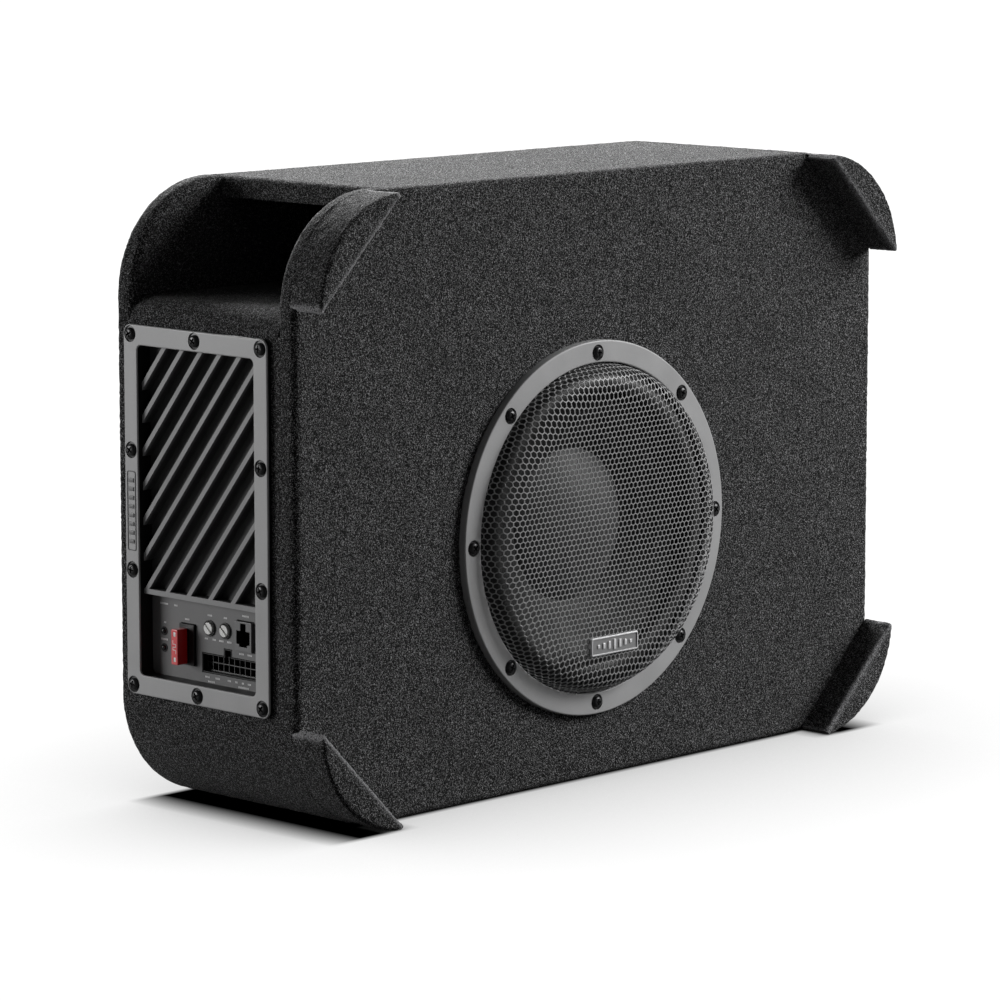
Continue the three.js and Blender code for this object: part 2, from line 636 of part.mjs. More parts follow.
function heatsinkSolid() {
  const { width, height, corner } = AMP_OPENING;
  const [finWidth, finHeight] = [width - 2 * FINS.play, height - 2 * FINS.play];
  const acrossFins = [AMP.y - finWidth / 2, AMP.y + finWidth / 2];
  const finX = BEZEL_FACE_X + FIN.recess;
  const finDepth = PLATE_X - finX + 1;
  const slope = Math.tan(THREE.MathUtils.degToRad(FIN.angle));
  const fins = [];
  for (let i = 0; i < FINS.count; i += 1) {
    const atMiddle = FIN.first - FIN.pitch * i - FIN.growth * i * i - slope * AMP.y;
    const bar = new THREE.BoxGeometry(finDepth, 2 * height, FIN.thick);
    bar.rotateX(-THREE.MathUtils.degToRad(FIN.angle)).translate(finX + finDepth / 2, AMP.y, atMiddle);
    fins.push(solid(bar));
  }
  const aboveLedge = box([finX - 1, PLATE_X + 1], acrossFins, [LEDGE.low, AMP.z + height]);
  const finShape = roundedRect(AMP.y, AMP.z, finWidth, finHeight, corner);
  const finZone = prismX(finShape, finX - 1, PLATE_X + 1).intersect(aboveLedge);
  const ledge = box([finX, PLATE_X + 1], acrossFins, [LEDGE.low, LEDGE.high]);
  return join(ampFloor(LEDGE.low, AMP.z + height), join(...fins).intersect(finZone), ledge);
}

// Openings of the control plate, each a little wider than the piece that sits in it.
function controlPlateSolid() {
  const through = [PLATE_X - 1, PLATE_BACK_X + 1];
  const openings = [FUSE_HOLDER, JACK, HEADER, latchPlace()].map((piece) =>
    block(through, piece, piece.width + 2 * GAP, piece.height + 2 * GAP),
  );
  const lampHoles = [LED.powerZ, LED.protectZ].map((z) => rodX(LED.y, z, LED.radius + 2 * GAP, ...through, 8));
  const trimmerHoles = trimmerRods(TRIMMER.radius + 2 * GAP, ...through);
  return cut(ampFloor(0, LEDGE.low - GAP), ...openings, ...trimmerHoles, ...lampHoles);
}

function latchPlace() {
  return { ...LATCH, z: HEADER.z + (HEADER.height + LATCH.height) / 2 };
}

// A block from x0 to x1, as wide and high as given, about a piece's own y and z.
function block(xs, { y, z }, width, height) {
  return box(xs, [y - width / 2, y + width / 2], [z - height / 2, z + height / 2]);
}

function coverSolid() {
  const [width, height] = [2 * COVER.halfWidth, 2 * COVER.halfHeight];
  const shell = block([PLATE_BACK_X + GAP, COVER_BACK_X], AMP, width, height);
  const inside = [PLATE_BACK_X, COVER_BACK_X - COVER.wall];
  const hollow = block(inside, AMP, width - 2 * COVER.wall, height - 2 * COVER.wall);
  return cut(shell, hollow);
}

function controls(group) {
  group.add(mesh("fuse_holder", fuseHolderSolid(), FINISH.black_plastic));
  group.add(mesh("fuse", fuseSolid(), FINISH.red_plastic));
  for (const [name, z] of [["led_power", LED.powerZ], ["led_protect", LED.protectZ]]) {
    const lamp = rodX(LED.y, z, LED.radius, PLATE_X - LED.proud, PCB_X - GAP, 8);
    group.add(mesh(name, lamp, FINISH.lamp));
  }
  for (const [name, y] of [["gain_knob", TRIMMER.gainY], ["crossover_knob", TRIMMER.crossoverY]]) {
    group.add(trimmerMesh(name, y));
  }
  group.add(mesh("remote_jack", jackSolid(), FINISH.grey_plastic));
  group.add(mesh("harness_header", headerSolid(), FINISH.black_plastic));
}

function trimmerMesh(name, y) {
  const shaft = join(
    rodX(0, 0, TRIMMER.radius, -TRIMMER.proud, TRIMMER.depth, 16),
    rodX(0, 0, TRIMMER_SHAFT.radius, 0, PCB_X - PLATE_X + TRIMMER_SHAFT.past, 8),
  );
  const slotBox = new THREE.BoxGeometry(2 * TRIMMER_SLOT.depth, 2 * TRIMMER.radius + 2, TRIMMER_SLOT.width);
  const slot = solid(slotBox).translate([-TRIMMER.proud, 0, 0]);
  const knob = mesh(name, cut(shaft, slot), FINISH.white_plastic);
  knob.position.set(PLATE_X, y, TRIMMER.z);
  knob.rotation.x = THREE.MathUtils.degToRad(TRIMMER_SLOT.tilt);
  return knob;
}

function fuseHolderSolid() {
  const { width, height, depth, well, play } = FUSE_HOLDER;
  const x0 = PLATE_X - FUSE_HOLDER.proud;
  const pocket = block([x0 - 1, x0 + well], FUSE, FUSE_STEM.thick + 2 * play, FUSE_STEM.height + 2 * play);
  return cut(block([x0, x0 + depth], FUSE_HOLDER, width, height), pocket);
}

function fuseSolid() {
  const x0 = PLATE_X - FUSE.proud;
  const x1 = PLATE_X - FUSE_HOLDER.proud - GAP;
  const body = block([x0, x1], FUSE, FUSE.thick, FUSE.height);
  const stem = block([x1 - 1, x1 + FUSE_STEM.length], FUSE, FUSE_STEM.thick, FUSE_STEM.height);
  const blades = [-1, 1].map((side) => {
    const z = FUSE.z + (side * (FUSE_STEM.height - FUSE_BLADE.width)) / 2;
    const xs = [x1 + FUSE_STEM.length - 0.5, x1 + FUSE_BLADE.end];
    return block(xs, { y: FUSE.y, z }, FUSE_BLADE.thick, FUSE_BLADE.width);
  });
  return join(body, stem, ...blades);
}

function jackSolid() {
  const { y, width, height, proud, well } = JACK;
  const x0 = PLATE_X - proud;
  const wells = JACK_WELL.map(({ width: wide, low, high }) =>
    box([x0 - 1, x0 + well], [y - wide / 2, y + wide / 2], [low, high]),
  );
  return cut(block([x0, PCB_X - GAP], JACK, width, height), ...wells);
}

// Shroud with a rim round a field of square cells, and a slot above it for the plug's latch.
function headerSolid() {
  const { width, height, lip, rimSide, rimEnd } = HEADER;
  const [x0, xEnd] = [PLATE_X, PCB_X - GAP];
  const latch = latchPlace();
  const latchBlock = block([x0, xEnd], { y: latch.y, z: latch.z - 0.5 }, latch.width, latch.height + 1);
  const latchSlot = block(
    [x0 - 1, x0 + lip + latch.past],
    { y: latch.y, z: latch.z - latch.wall - 0.1 },
    latch.width - 2 * latch.wall,
    latch.height + 0.2,
  );
  const mouth = block([x0 - 1, x0 + lip], HEADER, width - 2 * rimSide, height - 2 * rimEnd);
  const shroud = join(block([x0, xEnd], HEADER, width, height), latchBlock);
  return cut(shroud, mouth, latchSlot, ...headerCells(x0 + lip - 1, xEnd - 1));
}

function headerCells(x0, x1) {
  const { columns, rows, pitch, rowPitch, wall } = CELLS;
  const cells = [];
  for (let column = 0; column < columns; column += 1) {
    for (let row = 0; row < rows; row += 1) {
      const y = HEADER.y + (column - (columns - 1) / 2) * pitch;
      const z = HEADER.z + (row - (rows - 1) / 2) * rowPitch;
      cells.push(block([x0, x1], { y, z }, pitch - wall, pitch - wall));
    }
  }
  return cells;
}

// ---------- Screws ----------

// Pan-head screw about the Y axis: the head looks along -Y and its underside is at y = 0.
function screwSolid() {
  const profile = [
    [0, -SCREW.headHeight],
    [SCREW.crown, 0.4 - SCREW.headHeight],
    [SCREW.head, -SCREW.rim],
    [SCREW.head, 0],
    [SCREW.shank, 0],
    [SCREW.shank, SCREW.length - SCREW.point],
    [0, SCREW.length],
  ].map(([radius, y]) => new THREE.Vector2(radius, y));
  return solid(new THREE.LatheGeometry(profile, 8));
}

function screws(group) {
  const shape = screwSolid();
  ringScrews.forEach(({ x, z }, i) => {
    const screw = mesh(`ring_screw_${i + 1}`, shape, FINISH.screw);
    screw.position.set(x, RING_FACE_Y + SCREW.seat - GAP, z);
    group.add(screw);
  });
  bezelScrews.forEach(({ y, z }, i) => {
    const screw = mesh(`bezel_screw_${i + 1}`, shape, FINISH.screw);
    screw.rotation.z = -Math.PI / 2;
    screw.position.set(BEZEL_FACE_X + SCREW.seat - GAP, y, z);
    group.add(screw);
  });
}

// ---------- Assembly ----------

const subwoofer = new THREE.Group();
boards(subwoofer);
carpets(subwoofer);
bumpers(subwoofer);
woofer(subwoofer);
grille(subwoofer);
amplifier(subwoofer);
screws(subwoofer);

export default subwoofer;
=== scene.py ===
"""Powered car subwoofer: visible pieces, finishes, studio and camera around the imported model.

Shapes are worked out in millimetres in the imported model's frame and become metres when a mesh is made. The origin is
the middle of the cabinet's underside, +Z is up, the woofer looks along -Y and the amplifier is on the -X end.
"""

import logging
import math
from dataclasses import dataclass, field
from enum import Enum
from typing import Any, Callable, Iterable, Sequence

import bmesh
import bpy
import numpy as np
from mathutils import Matrix, Vector


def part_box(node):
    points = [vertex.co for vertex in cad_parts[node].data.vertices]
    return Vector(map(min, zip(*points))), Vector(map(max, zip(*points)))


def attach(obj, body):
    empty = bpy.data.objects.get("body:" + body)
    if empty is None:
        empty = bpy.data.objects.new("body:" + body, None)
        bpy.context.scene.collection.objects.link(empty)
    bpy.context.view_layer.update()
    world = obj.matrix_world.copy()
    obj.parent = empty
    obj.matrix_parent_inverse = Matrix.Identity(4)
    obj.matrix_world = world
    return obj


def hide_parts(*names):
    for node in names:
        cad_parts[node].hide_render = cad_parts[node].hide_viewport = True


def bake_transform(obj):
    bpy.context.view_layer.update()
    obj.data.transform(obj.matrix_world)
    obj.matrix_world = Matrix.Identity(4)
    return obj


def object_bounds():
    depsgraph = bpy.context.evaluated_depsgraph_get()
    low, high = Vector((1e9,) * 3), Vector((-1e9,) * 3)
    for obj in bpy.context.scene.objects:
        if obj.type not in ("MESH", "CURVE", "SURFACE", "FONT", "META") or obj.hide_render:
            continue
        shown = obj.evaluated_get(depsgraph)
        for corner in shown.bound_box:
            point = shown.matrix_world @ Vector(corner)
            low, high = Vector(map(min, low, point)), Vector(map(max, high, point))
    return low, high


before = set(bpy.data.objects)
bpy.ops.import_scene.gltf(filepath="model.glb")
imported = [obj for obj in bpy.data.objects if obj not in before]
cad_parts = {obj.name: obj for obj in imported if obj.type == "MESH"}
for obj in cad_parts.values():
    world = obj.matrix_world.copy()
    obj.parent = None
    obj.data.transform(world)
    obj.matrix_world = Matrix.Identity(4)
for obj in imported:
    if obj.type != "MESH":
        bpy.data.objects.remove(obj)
CAD_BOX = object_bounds()

MM = 0.001
Array = np.ndarray
log = logging.getLogger("subwoofer")


class Body(Enum):
    """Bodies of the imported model."""

    ENCLOSURE = "enclosure"
    CONE = "cone_assembly"
    GAIN = "gain_trimmer"
    CROSSOVER = "crossover_trimmer"
    FUSE = "blade_fuse"


class Slot(Enum):
    """Material slots of the record."""

    CARPET = "carpet"
    TRIM = "trim"
    HEATSINK = "heatsink"
    MESH = "mesh"
    BADGE = "badge"
    SCREW = "screw"
    PAPER = "paper"
    RUBBER = "rubber"
    CLOTH = "cloth"
    BLACK = "black_plastic"
    GREY = "grey_plastic"
    WHITE = "white_plastic"
    RED = "red_plastic"
    LAMP = "lamp"
    STEEL = "steel"


# ---------------------------------------------------------------- surfaces


@dataclass
class Surface:
    """A mesh as whole arrays, in millimetres.

    points are the corners, quads and tris index them, and lift is the outward direction in which a fibrous skin
    swells at each point, zero where the point is hidden.
    """

    points: Array
    quads: Array
    tris: Array = field(default_factory=lambda: np.empty((0, 3), int))
    lift: Array | None = None

    @classmethod
    def grid(
        cls, points: Array, wrap_rows: bool = False, wrap_columns: bool = False, lift: Array | None = None
    ) -> "Surface":
        """Joins a rows x columns field of points into quads.

        Args:
            points: rows x columns x 3 places.
            wrap_rows: whether the last row joins the first.
            wrap_columns: whether the last column joins the first.
            lift: outward directions of the same shape.

        Returns:
            The open or wrapped sheet.
        """
        rows, columns = points.shape[:2]
        row = np.arange(rows if wrap_rows else rows - 1)[:, None]
        column = np.arange(columns if wrap_columns else columns - 1)[None, :]
        next_row, next_column = (row + 1) % rows, (column + 1) % columns
        corners = [
            row * columns + column, row * columns + next_column, next_row * columns + next_column,
            next_row * columns + column
        ]
        quads = np.stack(np.broadcast_arrays(*corners), -1).reshape(-1, 4)
        directions = None if lift is None else lift.reshape(-1, 3)
        return cls(points.reshape(-1, 3), quads, lift=directions)

    @classmethod
    def joined(cls, parts: Iterable["Surface"]) -> "Surface":
        """Puts several surfaces in one mesh without welding them."""
        points, quads, tris, lifts, start = [], [], [], [], 0
        for part in parts:
            points.append(part.points)
            quads.append(part.quads + start)
            tris.append(part.tris + start)
            lifts.append(np.zeros_like(part.points) if part.lift is None else part.lift)
            start += len(part.points)
        return cls(np.concatenate(points), np.concatenate(quads), np.concatenate(tris), np.concatenate(lifts))

    def capped(self, loops: Iterable[Array]) -> "Surface":
        """Closes loops of points, each with a fan of triangles from its middle.

        Args:
            loops: the point indices of each loop, in order.

        Returns:
            The surface with one more point for each loop.
        """
        points, tris, start = [self.points], [self.tris], len(self.points)
        for loop in loops:
            middle = np.full(len(loop), start)
            points.append(self.points[loop].mean(0, keepdims=True))
            tris.append(np.stack([middle, loop, np.roll(loop, -1)], -1))
            start += 1
        grown = start - len(self.points)
        lift = None if self.lift is None else np.concatenate([self.lift, np.zeros((grown, 3))])
        return Surface(np.concatenate(points), self.quads, np.concatenate(tris), lift)

    def mapped(self, change: Callable[[Array], Array]) -> "Surface":
        """The same mesh with its points, and its lift as a direction, passed through a linear map about the origin."""
        lift = None if self.lift is None else change(self.lift)
        return Surface(change(self.points), self.quads, self.tris, lift)

    def moved(self, x: float, y: float, z: float) -> "Surface":
        """The same mesh set off by a distance along each axis."""
        return Surface(self.points + np.array([x, y, z]), self.quads, self.tris, self.lift)


def tube(rings: Array, lift: Array | None = None) -> Surface:
    """Closed solid from a stack of loops: rows are loops, columns wrap, and the two end loops are fan-capped."""
    rows, columns = rings.shape[:2]
    shell = Surface.grid(rings, wrap_columns=True, lift=lift)
    return shell.capped([np.arange(columns), np.arange((rows - 1) * columns, rows * columns)])


def arc(start: float, end: float, count: int) -> tuple[Array, Array]:
    """Cosines and sines of count angles in degrees from start to end, both included."""
    angle = np.radians(np.linspace(start, end, count))
    return np.cos(angle), np.sin(angle)


def rounded_loop(half_u: float, half_v: float, radius: float, steps: int = 6) -> Array:
    """Rounded rectangle as a counter-clockwise loop of 4 (steps + 1) points, with an arc about each corner's centre."""
    cos, sin = arc(0, 90, steps + 1)
    corners = []
    for turn in range(4):
        sign_u = (1, -1, -1, 1)[turn]
        sign_v = (1, 1, -1, -1)[turn]
        c, s = ((cos, sin), (-sin, cos), (-cos, -sin), (sin, -cos))[turn]
        corners.append(np.stack([sign_u * (half_u - radius) + radius * c, sign_v * (half_v - radius) + radius * s], -1))
    return np.concatenate(corners)


def soft_block(
    low: Sequence[float], high: Sequence[float], radius: float, axis: int = 0, corner: float | None = None
) -> Surface:
    """Block with rounded edges: rounded rectangles stacked along one axis, drawn in over the first and last radius.

    Args:
        low: lowest corner.
        high: highest corner.
        radius: radius of the edges round the two end faces.
        axis: the stacking axis, 0 for X, 1 for Y, 2 for Z.
        corner: radius of the edges along the axis, or None for the same radius.

    Returns:
        The closed block.
    """
    low, high = np.array(low, float), np.array(high, float)
    u, v = (axis + 1) % 3, (axis + 2) % 3
    half = (high - low) / 2
    middle = (high + low) / 2
    edge = radius if corner is None else corner
    cos, sin = arc(0, 90, 4)
    along = np.concatenate([low[axis] + radius * (1 - sin), high[axis] - radius * (1 - sin[::-1])])
    inset = np.concatenate([radius * (1 - cos), radius * (1 - cos[::-1])])
    along = np.concatenate([along[:4][::-1], along[4:][::-1]])
    inset = np.concatenate([inset[:4][::-1], inset[4:][::-1]])
    rings = np.zeros((len(along), 4 * 5, 3))
    for k, (place, trim) in enumerate(zip(along, inset)):
        loop = rounded_loop(half[u] - trim, half[v] - trim, max(edge - trim, 0.05), 4)
        rings[k, :, axis] = place
        rings[k, :, u] = middle[u] + loop[:, 0]
        rings[k, :, v] = middle[v] + loop[:, 1]
    return tube(rings)


def rod(centre: Sequence[float], radius: float, start: float, end: float, axis: int = 0, segments: int = 48) -> Surface:
    """Closed cylinder along an axis, from start to end, through centre."""
    cos, sin = arc(0, 360 * (1 - 1 / segments), segments)
    u, v = (axis + 1) % 3, (axis + 2) % 3
    rings = np.zeros((2, segments, 3))
    rings[:, :, axis] = np.array([[start], [end]])
    rings[:, :, u] = centre[u] + radius * cos
    rings[:, :, v] = centre[v] + radius * sin
    return tube(rings)


def turned(profile: Sequence[Sequence[float]], centre: Sequence[float], segments: int, closed: bool = False) -> Surface:
    """Carries a profile of [radius, y] points round a line parallel to Y.

    A point is centre + radius (sin t, cos t) in X and Z, with t all the way round.

    Args:
        profile: the points, from one end of the section to the other.
        centre: x and z of the line.
        segments: steps round the turn.
        closed: whether the last profile point joins the first, as on a ring.

    Returns:
        The surface, with a pole wherever the profile meets the line.
    """
    section = np.array(profile, float)
    cos, sin = arc(0, 360 * (1 - 1 / segments), segments)
    points = np.zeros((len(section), segments, 3))
    points[:, :, 0] = centre[0] + section[:, :1] * sin
    points[:, :, 1] = section[:, 1:]
    points[:, :, 2] = centre[1] + section[:, :1] * cos
    return Surface.grid(points, wrap_rows=closed, wrap_columns=True)


def eased(profile: Sequence[Sequence[float]], radius: float, closed: bool = True, steps: int = 4) -> Array:
    """Rounds the corners of a profile.

    Each corner becomes a quadratic curve between the points a radius before and after it, less where its sides are
    short.

    Args:
        profile: corner points.
        radius: distance cut back from each corner.
        closed: whether the profile is a loop.
        steps: segments of each curve.

    Returns:
        The rounded profile's points.
    """
    points = np.array(profile, float)
    before, after = np.roll(points, 1, 0) - points, np.roll(points, -1, 0) - points
    size_before = np.linalg.norm(before, axis=1, keepdims=True)
    size_after = np.linalg.norm(after, axis=1, keepdims=True)
    reach = np.minimum(radius, 0.45 * np.minimum(size_before, size_after))
    start, end = points + before / size_before * reach, points + after / size_after * reach
    t = np.linspace(0, 1, steps + 1)[None, :, None]
    curve = (1 - t) ** 2 * start[:, None] + 2 * t * (1 - t) * points[:, None] + t**2 * end[:, None]
    if not closed:
        curve[0], curve[-1] = points[0], points[-1]
    return curve.reshape(-1, 2)


def lattice_hash(cells: Array, seed: int) -> Array:
    """A number from -1 to 1 for each whole-number cell, by multiplying and mixing its coordinates."""
    mixed = cells[..., 0] * 73856093 ^ cells[..., 1] * 19349663 ^ cells[..., 2] * 83492791 ^ seed * 2654435761
    mixed = mixed & 0xFFFFFFFF
    mixed = ((mixed ^ (mixed >> 15)) * 2246822519) & 0xFFFFFFFF
    mixed = ((mixed ^ (mixed >> 13)) * 3266489917) & 0xFFFFFFFF
    return ((mixed ^ (mixed >> 16)) & 0xFFFFFF) / float(0x7FFFFF) - 1


def lattice_noise(points: Array, cell: float, seed: int) -> Array:
    """Smooth random height: numbers at the corners of cells of one size, blended by 3t^2 - 2t^3 on each axis."""
    scaled = points / cell
    base = np.floor(scaled).astype(np.int64)
    part = scaled - base
    part = part * part * (3 - 2 * part)
    total = np.zeros(len(points))
    for corner in np.ndindex(2, 2, 2):
        pick = np.array(corner)
        weight = np.prod(np.where(pick == 1, part, 1 - part), axis=1)
        total += weight * lattice_hash(base + pick, seed)
    return total


def to_object(name: str, surface: Surface, weld: float = 1e-3, fill: bool = False) -> bpy.types.Object:
    """Makes a mesh object at the origin from a surface in millimetres.

    Args:
        name: the piece's name.
        surface: what it is made of.
        weld: distance within which points are merged, in millimetres.
        fill: whether flat open loops are filled at the end.

    Returns:
        The linked object, with its faces turned outwards.
    """
    mesh = bpy.data.meshes.new(name)
    mesh.from_pydata((surface.points * MM).tolist(), [], surface.quads.tolist() + surface.tris.tolist())
    form = bmesh.new()
    form.from_mesh(mesh)
    bmesh.ops.remove_doubles(form, verts=form.verts, dist=weld * MM)
    if fill:
        open_edges = [edge for edge in form.edges if edge.is_boundary]
        bmesh.ops.triangle_fill(form, edges=open_edges, use_beauty=False)
    bmesh.ops.recalc_face_normals(form, faces=form.faces)
    form.to_mesh(mesh)
    form.free()
    mesh.shade_smooth()
    thing = bpy.data.objects.new(name, mesh)
    bpy.context.scene.collection.objects.link(thing)
    return thing


def crisp(thing: bpy.types.Object, angle: float) -> bpy.types.Object:
    """Keeps the shading of edges sharper than an angle in degrees apart."""
    thing.data.set_sharp_from_angle(angle=math.radians(angle))
    return thing


def applied(thing: bpy.types.Object) -> bpy.types.Object:
    """Applies an object's modifiers."""
    bpy.context.view_layer.update()
    evaluated = thing.evaluated_get(bpy.context.evaluated_depsgraph_get())
    mesh, old = bpy.data.meshes.new_from_object(evaluated), thing.data
    thing.modifiers.clear()
    thing.data = mesh
    bpy.data.meshes.remove(old)
    mesh.name = thing.name
    return thing


def settle(thing: bpy.types.Object, sharp: float = 32.0) -> bpy.types.Object:
    """Applies an object's modifiers and keeps edges sharper than an angle in degrees crisp."""
    applied(thing)
    thing.data.shade_smooth()
    thing.data.set_sharp_from_angle(angle=math.radians(sharp))
    return thing


def bevelled(thing: bpy.types.Object, width: float, segments: int = 2, angle: float = 35.0) -> bpy.types.Object:
    """Breaks an object's sharp edges by a width in millimetres, and weighs its normals by the size of its faces."""
    bevel = thing.modifiers.new("broken_edges", "BEVEL")
    bevel.width = width * MM
    bevel.segments = segments
    bevel.limit_method = "ANGLE"
    bevel.angle_limit = math.radians(angle)
    bevel.harden_normals = False
    settle(thing)
    weigh = thing.modifiers.new("flat_faces_first", "WEIGHTED_NORMAL")
    weigh.keep_sharp = True
    weigh.weight = 90
    return applied(thing)


def carved(thing: bpy.types.Object, cutters: Sequence[Surface]) -> bpy.types.Object:
    """Cuts closed surfaces that stay clear of each other out of an object."""
    tool = to_object("cutter", Surface.joined(cutters), weld=1e-4)
    cut = thing.modifiers.new("cut", "BOOLEAN")
    cut.operation = "DIFFERENCE"
    cut.solver = "EXACT"
    cut.object = tool
    settle(thing)
    mesh = tool.data
    bpy.data.objects.remove(tool)
    bpy.data.meshes.remove(mesh)
    return thing


def copied(node: str, name: str) -> bpy.types.Object:
    """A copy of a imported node's mesh as a new object, with its points merged and its flat faces made whole."""
    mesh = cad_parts[node].data.copy()
    mesh.name = name
    form = bmesh.new()
    form.from_mesh(mesh)
    bmesh.ops.remove_doubles(form, verts=form.verts, dist=1e-6)
    bmesh.ops.dissolve_limit(form, angle_limit=math.radians(1), verts=form.verts, edges=form.edges)
    form.to_mesh(mesh)
    form.free()
    thing = bpy.data.objects.new(name, mesh)
    bpy.context.scene.collection.objects.link(thing)
    return thing


def span(node: str) -> tuple[Array, Array]:
    """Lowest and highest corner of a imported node, in millimetres."""
    low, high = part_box(node)
    return np.array(low) / MM, np.array(high) / MM


# ---------------------------------------------------------------- shader groups


def add_node(
    tree: bpy.types.NodeTree, kind: str, inputs: dict[Any, Any] | None = None, **settings: Any
) -> bpy.types.Node:
    """Adds a node, sets its options, and gives each named input a value or links it to a socket."""
    made = tree.nodes.new(kind)
    for name, value in settings.items():
        setattr(made, name, value)
    for name, value in (inputs or {}).items():
        if isinstance(value, bpy.types.NodeSocket):
            tree.links.new(value, made.inputs[name])
        else:
            made.inputs[name].default_value = value
    return made


def ramp(
    tree: bpy.types.NodeTree, value: bpy.types.NodeSocket, low: float, high: float, to_low: Any = 0.0,
    to_high: Any = 1.0
) -> bpy.types.NodeSocket:
    """Maps a value that runs from low to high on to another run, held at its ends."""
    inputs = {"Value": value, "From Min": low, "From Max": high, "To Min": to_low, "To Max": to_high}
    return add_node(tree, "ShaderNodeMapRange", inputs).outputs["Result"]


def mixed(tree: bpy.types.NodeTree, mask: Any, first: Any, second: Any, blend: str = "MIX") -> bpy.types.NodeSocket:
    """Mixes two colours by a mask."""
    made = tree.nodes.new("ShaderNodeMix")
    made.data_type = "RGBA"
    made.blend_type = blend
    for index, value in ((0, mask), (6, first), (7, second)):
        if isinstance(value, bpy.types.NodeSocket):
            tree.links.new(value, made.inputs[index])
        else:
            made.inputs[index].default_value = value
    return made.outputs[2]


def maths(tree: bpy.types.NodeTree, operation: str, first: Any, second: Any = 0.0) -> bpy.types.NodeSocket:
    """One arithmetic step between two values."""
    return add_node(tree, "ShaderNodeMath", {0: first, 1: second}, operation=operation).outputs[0]


def open_group(name: str, inputs: dict[str, tuple[str, Any]], outputs: dict[str, str]) -> tuple[Any, Any, Any]:
    """Starts a shader group.

    Args:
        name: the group's name.
        inputs: kind and default value of each input by name.
        outputs: kind of each output by name.

    Returns:
        The group, its input node and its output node.
    """
    group = bpy.data.node_groups.new(name, "ShaderNodeTree")
    for label, (kind, value) in inputs.items():
        socket = group.interface.new_socket(label, in_out="INPUT", socket_type=kind)
        socket.default_value = value
    for label, kind in outputs.items():
        group.interface.new_socket(label, in_out="OUTPUT", socket_type=kind)
    return group, group.nodes.new("NodeGroupInput"), group.nodes.new("NodeGroupOutput")


FLOAT, COLOUR = "NodeSocketFloat", "NodeSocketColor"


